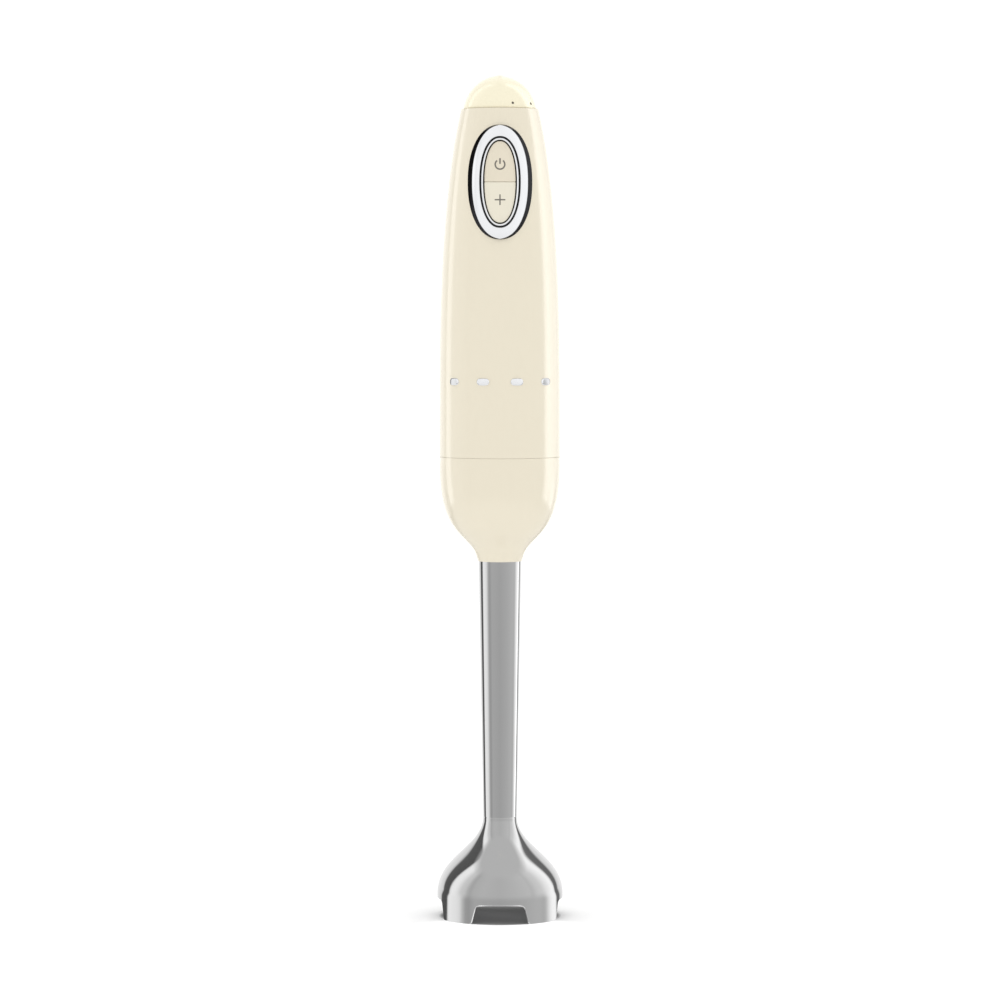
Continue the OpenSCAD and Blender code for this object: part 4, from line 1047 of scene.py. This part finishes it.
bell = np.concatenate([
    np.stack([np.linspace(GUARD_R + RIM_FLARE, GUARD_R, 12), np.linspace(0, SKIRT_H, 12)], -1)[:-1],
    cubic([(GUARD_R, SKIRT_H), (GUARD_R - MM, 29 * MM), (TUBE_FOOT_R, 33.5 * MM), (TUBE_FOOT_R, GUARD_TOP)],
          300)])
bell_run = np.concatenate([[0], np.cumsum(np.hypot(*np.diff(bell, axis=0).T))])
edge = window_edge()
edge_turn = np.arcsin(edge[:, 0] / np.interp(edge[:, 1], bell[:, 1], bell[:, 0]))
between = np.linspace(edge_turn[0], math.pi / 2 - edge_turn[0], 16)[1:-1]
quarter_turn = np.concatenate([-edge_turn, edge_turn[-2::-1], between])
quarter_height = np.concatenate([edge[:, 1], edge[-2::-1, 1], 0 * between])
turns = np.concatenate([quarter_turn + quarter * math.pi / 2 for quarter in range(4)])
edge_run = np.interp(np.tile(quarter_height, 4), bell[:, 1], bell_run)
share = np.linspace(0, 1, GUARD_ROWS)[:, None]
run = edge_run * (1 - share) + bell_run[-1] * share
r, z = np.interp(run, bell_run, bell[:, 0]), np.interp(run, bell_run, bell[:, 1])
neck_r = np.array([[TUBE_FOOT_R - 0.3 * MM], [TUBE_FOOT_R - 0.5 * MM]]) + 0 * turns
neck_z = np.array([[GUARD_TOP + 0.6 * MM], [GUARD_TOP + 3 * MM]]) + 0 * turns
r, z = np.concatenate([r, neck_r]), np.concatenate([z, neck_z])
points = polar(r, turns, z)
faces = hoop_faces(len(r), len(turns))
# Inside, the bell is rougher steel coloured near-black: painted shade for the hollow the guard keeps in the
# dark.
inner_steel_painted_shade = finish_of(
    "inner_steel_painted_shade", (52, 52, 52), metallic=1.0, roughness=0.38, spread=0.1, tint=0.08, fine=1500.0, bump=0.05)
guard = make_piece("guard_bell", points, faces, "arm", polished_steel, ["blade_guard"])
guard.data.materials.append(inner_steel_painted_shade)
give_wall(guard, GUARD_WALL, GUARD_EDGE)
guard.modifiers["wall"].material_offset = 1

# Beside the right-hand screen the tube mirrors one panel more than the guard
TUBE_PANELS = [(119, 131, 0.72)]
tube_steel = bpy.data.collections.new("tube_steel")
tube_steel.objects.link(tube)
stand_panels("tube_panel", TUBE_PANELS, tube_steel, low=-1.2)


# ---- Works inside, and the blade ----
# The motor, its control board, the drive down the arm and the blade keep the frame's shapes. Each
# gets the finish of what it is made of: stacked laminations, wound copper, ground or plated steel.


def layering(group, given):
    """Even lines across the object's z, as a colour factor and a height."""
    up = add_node(group, "SeparateXYZ", {0: add_node(group, "TexCoord")["Object"]})[2]
    saw = work_out(group, "FRACT", work_out(group, "DIVIDE", up, given["Pitch"]))
    gap = work_out(group, "ABSOLUTE", work_out(group, "SUBTRACT", saw, 0.5))
    ridge = remap(group, gap, 0.5, 0.3, interpolation_type="SMOOTHSTEP")
    dark = work_out(group, "SUBTRACT", 1.0, given["Depth"])
    return {"Color Factor": remap(group, ridge, 0.0, 1.0, dark), "Height": ridge}


LAYERS = effect_group("layer_lines", {"Pitch": 0.5 * MM, "Depth": 0.3}, layering)


def add_layers(material, pitch, depth, strength):
    """Lines of that pitch over a finish: darker in the gaps, and in relief."""
    tree = material.node_tree
    shader = tree.nodes["Principled BSDF"]
    layers = add_node(tree, "Group", {"Pitch": pitch, "Depth": depth}, node_tree=LAYERS)
    plain = shader.inputs["Base Color"].links[0].from_socket
    feed(tree, shader, {
        "Base Color": shaded(tree, plain, layers["Color Factor"]),
        "Normal": relief(tree, strength, pitch / 3, layers["Height"])})


# Display colour, metal, roughness and its spread, strength and scale of the tint, strength of the relief
FINISHES = {
    "ground_steel": ((205, 206, 208), 1.0, 0.24, 0.05, 0.05, 60.0, 0.02),
    "zinc_steel": ((196, 200, 206), 1.0, 0.36, 0.2, 0.18, 120.0, 0.08),
    "lamination": ((120, 122, 128), 1.0, 0.45, 0.1, 0.2, 80.0, 0.02),
    "copper": ((196, 112, 62), 1.0, 0.3, 0.1, 0.25, 200.0, 0.02),
    "brass": ((214, 180, 104), 1.0, 0.28, 0.1, 0.12, 90.0, 0.02),
    "bronze": ((176, 126, 74), 1.0, 0.5, 0.15, 0.3, 500.0, 0.3),
    "carbon": ((46, 46, 48), 0.0, 0.55, 0.2, 0.4, 900.0, 0.3),
    "white_nylon": ((228, 226, 216), 0.0, 0.42, 0.05, 0.04, 20.0, 0.06),
    "seal_rubber": ((120, 38, 28), 0.0, 0.6, 0.1, 0.15, 20.0, 0.15),
    "board_green": ((26, 92, 52), 0.0, 0.35, 0.1, 0.5, 350.0, 0.02),
    "capacitor_blue": ((36, 84, 150), 0.0, 0.3, 0.05, 0.12, 150.0, 0.1),
    "heatsink_alloy": ((176, 178, 182), 1.0, 0.4, 0.05, 0.08, 60.0, 0.02),
}
EXTRA = {"white_nylon": {"Subsurface_Weight": 0.1}, "board_green": {"Coat_Weight": 0.4}}
WORKS = {
    "chrome_trim": chrome_plating, "polished_steel": polished_steel, "shell_cream": cream_moulding,
    "dial_cream": dial_moulding, "power_cream": power_satin, "turbo_cream": turbo_satin,
    "black_plastic": black_moulding_and_painted_shade, "black_rubber": soft_rubber,
    **{name: finish_of(name, *values, **EXTRA.get(name, {})) for name, values in FINISHES.items()},
}
add_polish_lines(WORKS["ground_steel"], (90.0, 2600.0, 2600.0), 0.25, 0.24, 0.08)
add_layers(WORKS["lamination"], 0.5 * MM, 0.45, 0.6)
add_layers(WORKS["copper"], 0.42 * MM, 0.5, 0.9)
add_layers(WORKS["heatsink_alloy"], 0.3 * MM, 0.12, 0.2)
SLOT_OF = {part["node"]: part["material_slot"] for part in frame["record"]["subparts"]}
for node, slot_name in SLOT_OF.items():
    for slot in frame["nodes"][node].material_slots:
        slot.material = WORKS[slot_name]


# ---- Button springs ----
# Each button returns on a coil of plated spring wire between its plunger's seat and the plate behind.

SPRING_TURNS, WIRE_R, BUTTON_TRAVEL = 5, 0.35 * MM, 1.2 * MM


def make_spring(name, node, body):
    """The wire's circle carried along a helix: its centre goes round at one radius while y grows evenly."""
    low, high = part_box(node)
    coil_r = (high.x - low.x) / 2 - WIRE_R
    turn = np.linspace(0, 2 * math.pi * SPRING_TURNS, 36 * SPRING_TURNS + 1)[:, None]
    ring = np.linspace(0, 2 * math.pi, 10, endpoint=False)
    r = coil_r + WIRE_R * np.cos(ring)
    y = low.y + WIRE_R + (high.y - low.y - 2 * WIRE_R) * turn / turn[-1] + WIRE_R * np.sin(ring)
    points = np.stack([r * np.cos(turn), y, (low.z + high.z) / 2 + r * np.sin(turn)], -1)
    count = len(ring)
    faces = hoop_faces(len(turn), count)
    end = (len(turn) - 1) * count
    faces += [list(range(count))[::-1], list(range(end, end + count))]
    spring = make_piece(name, points, faces, body, WORKS["zinc_steel"], [node])
    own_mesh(spring)


for button in ["power", "turbo"]:
    make_spring(f"{button}_spring_coil", f"{button}_spring", f"{button}_button")
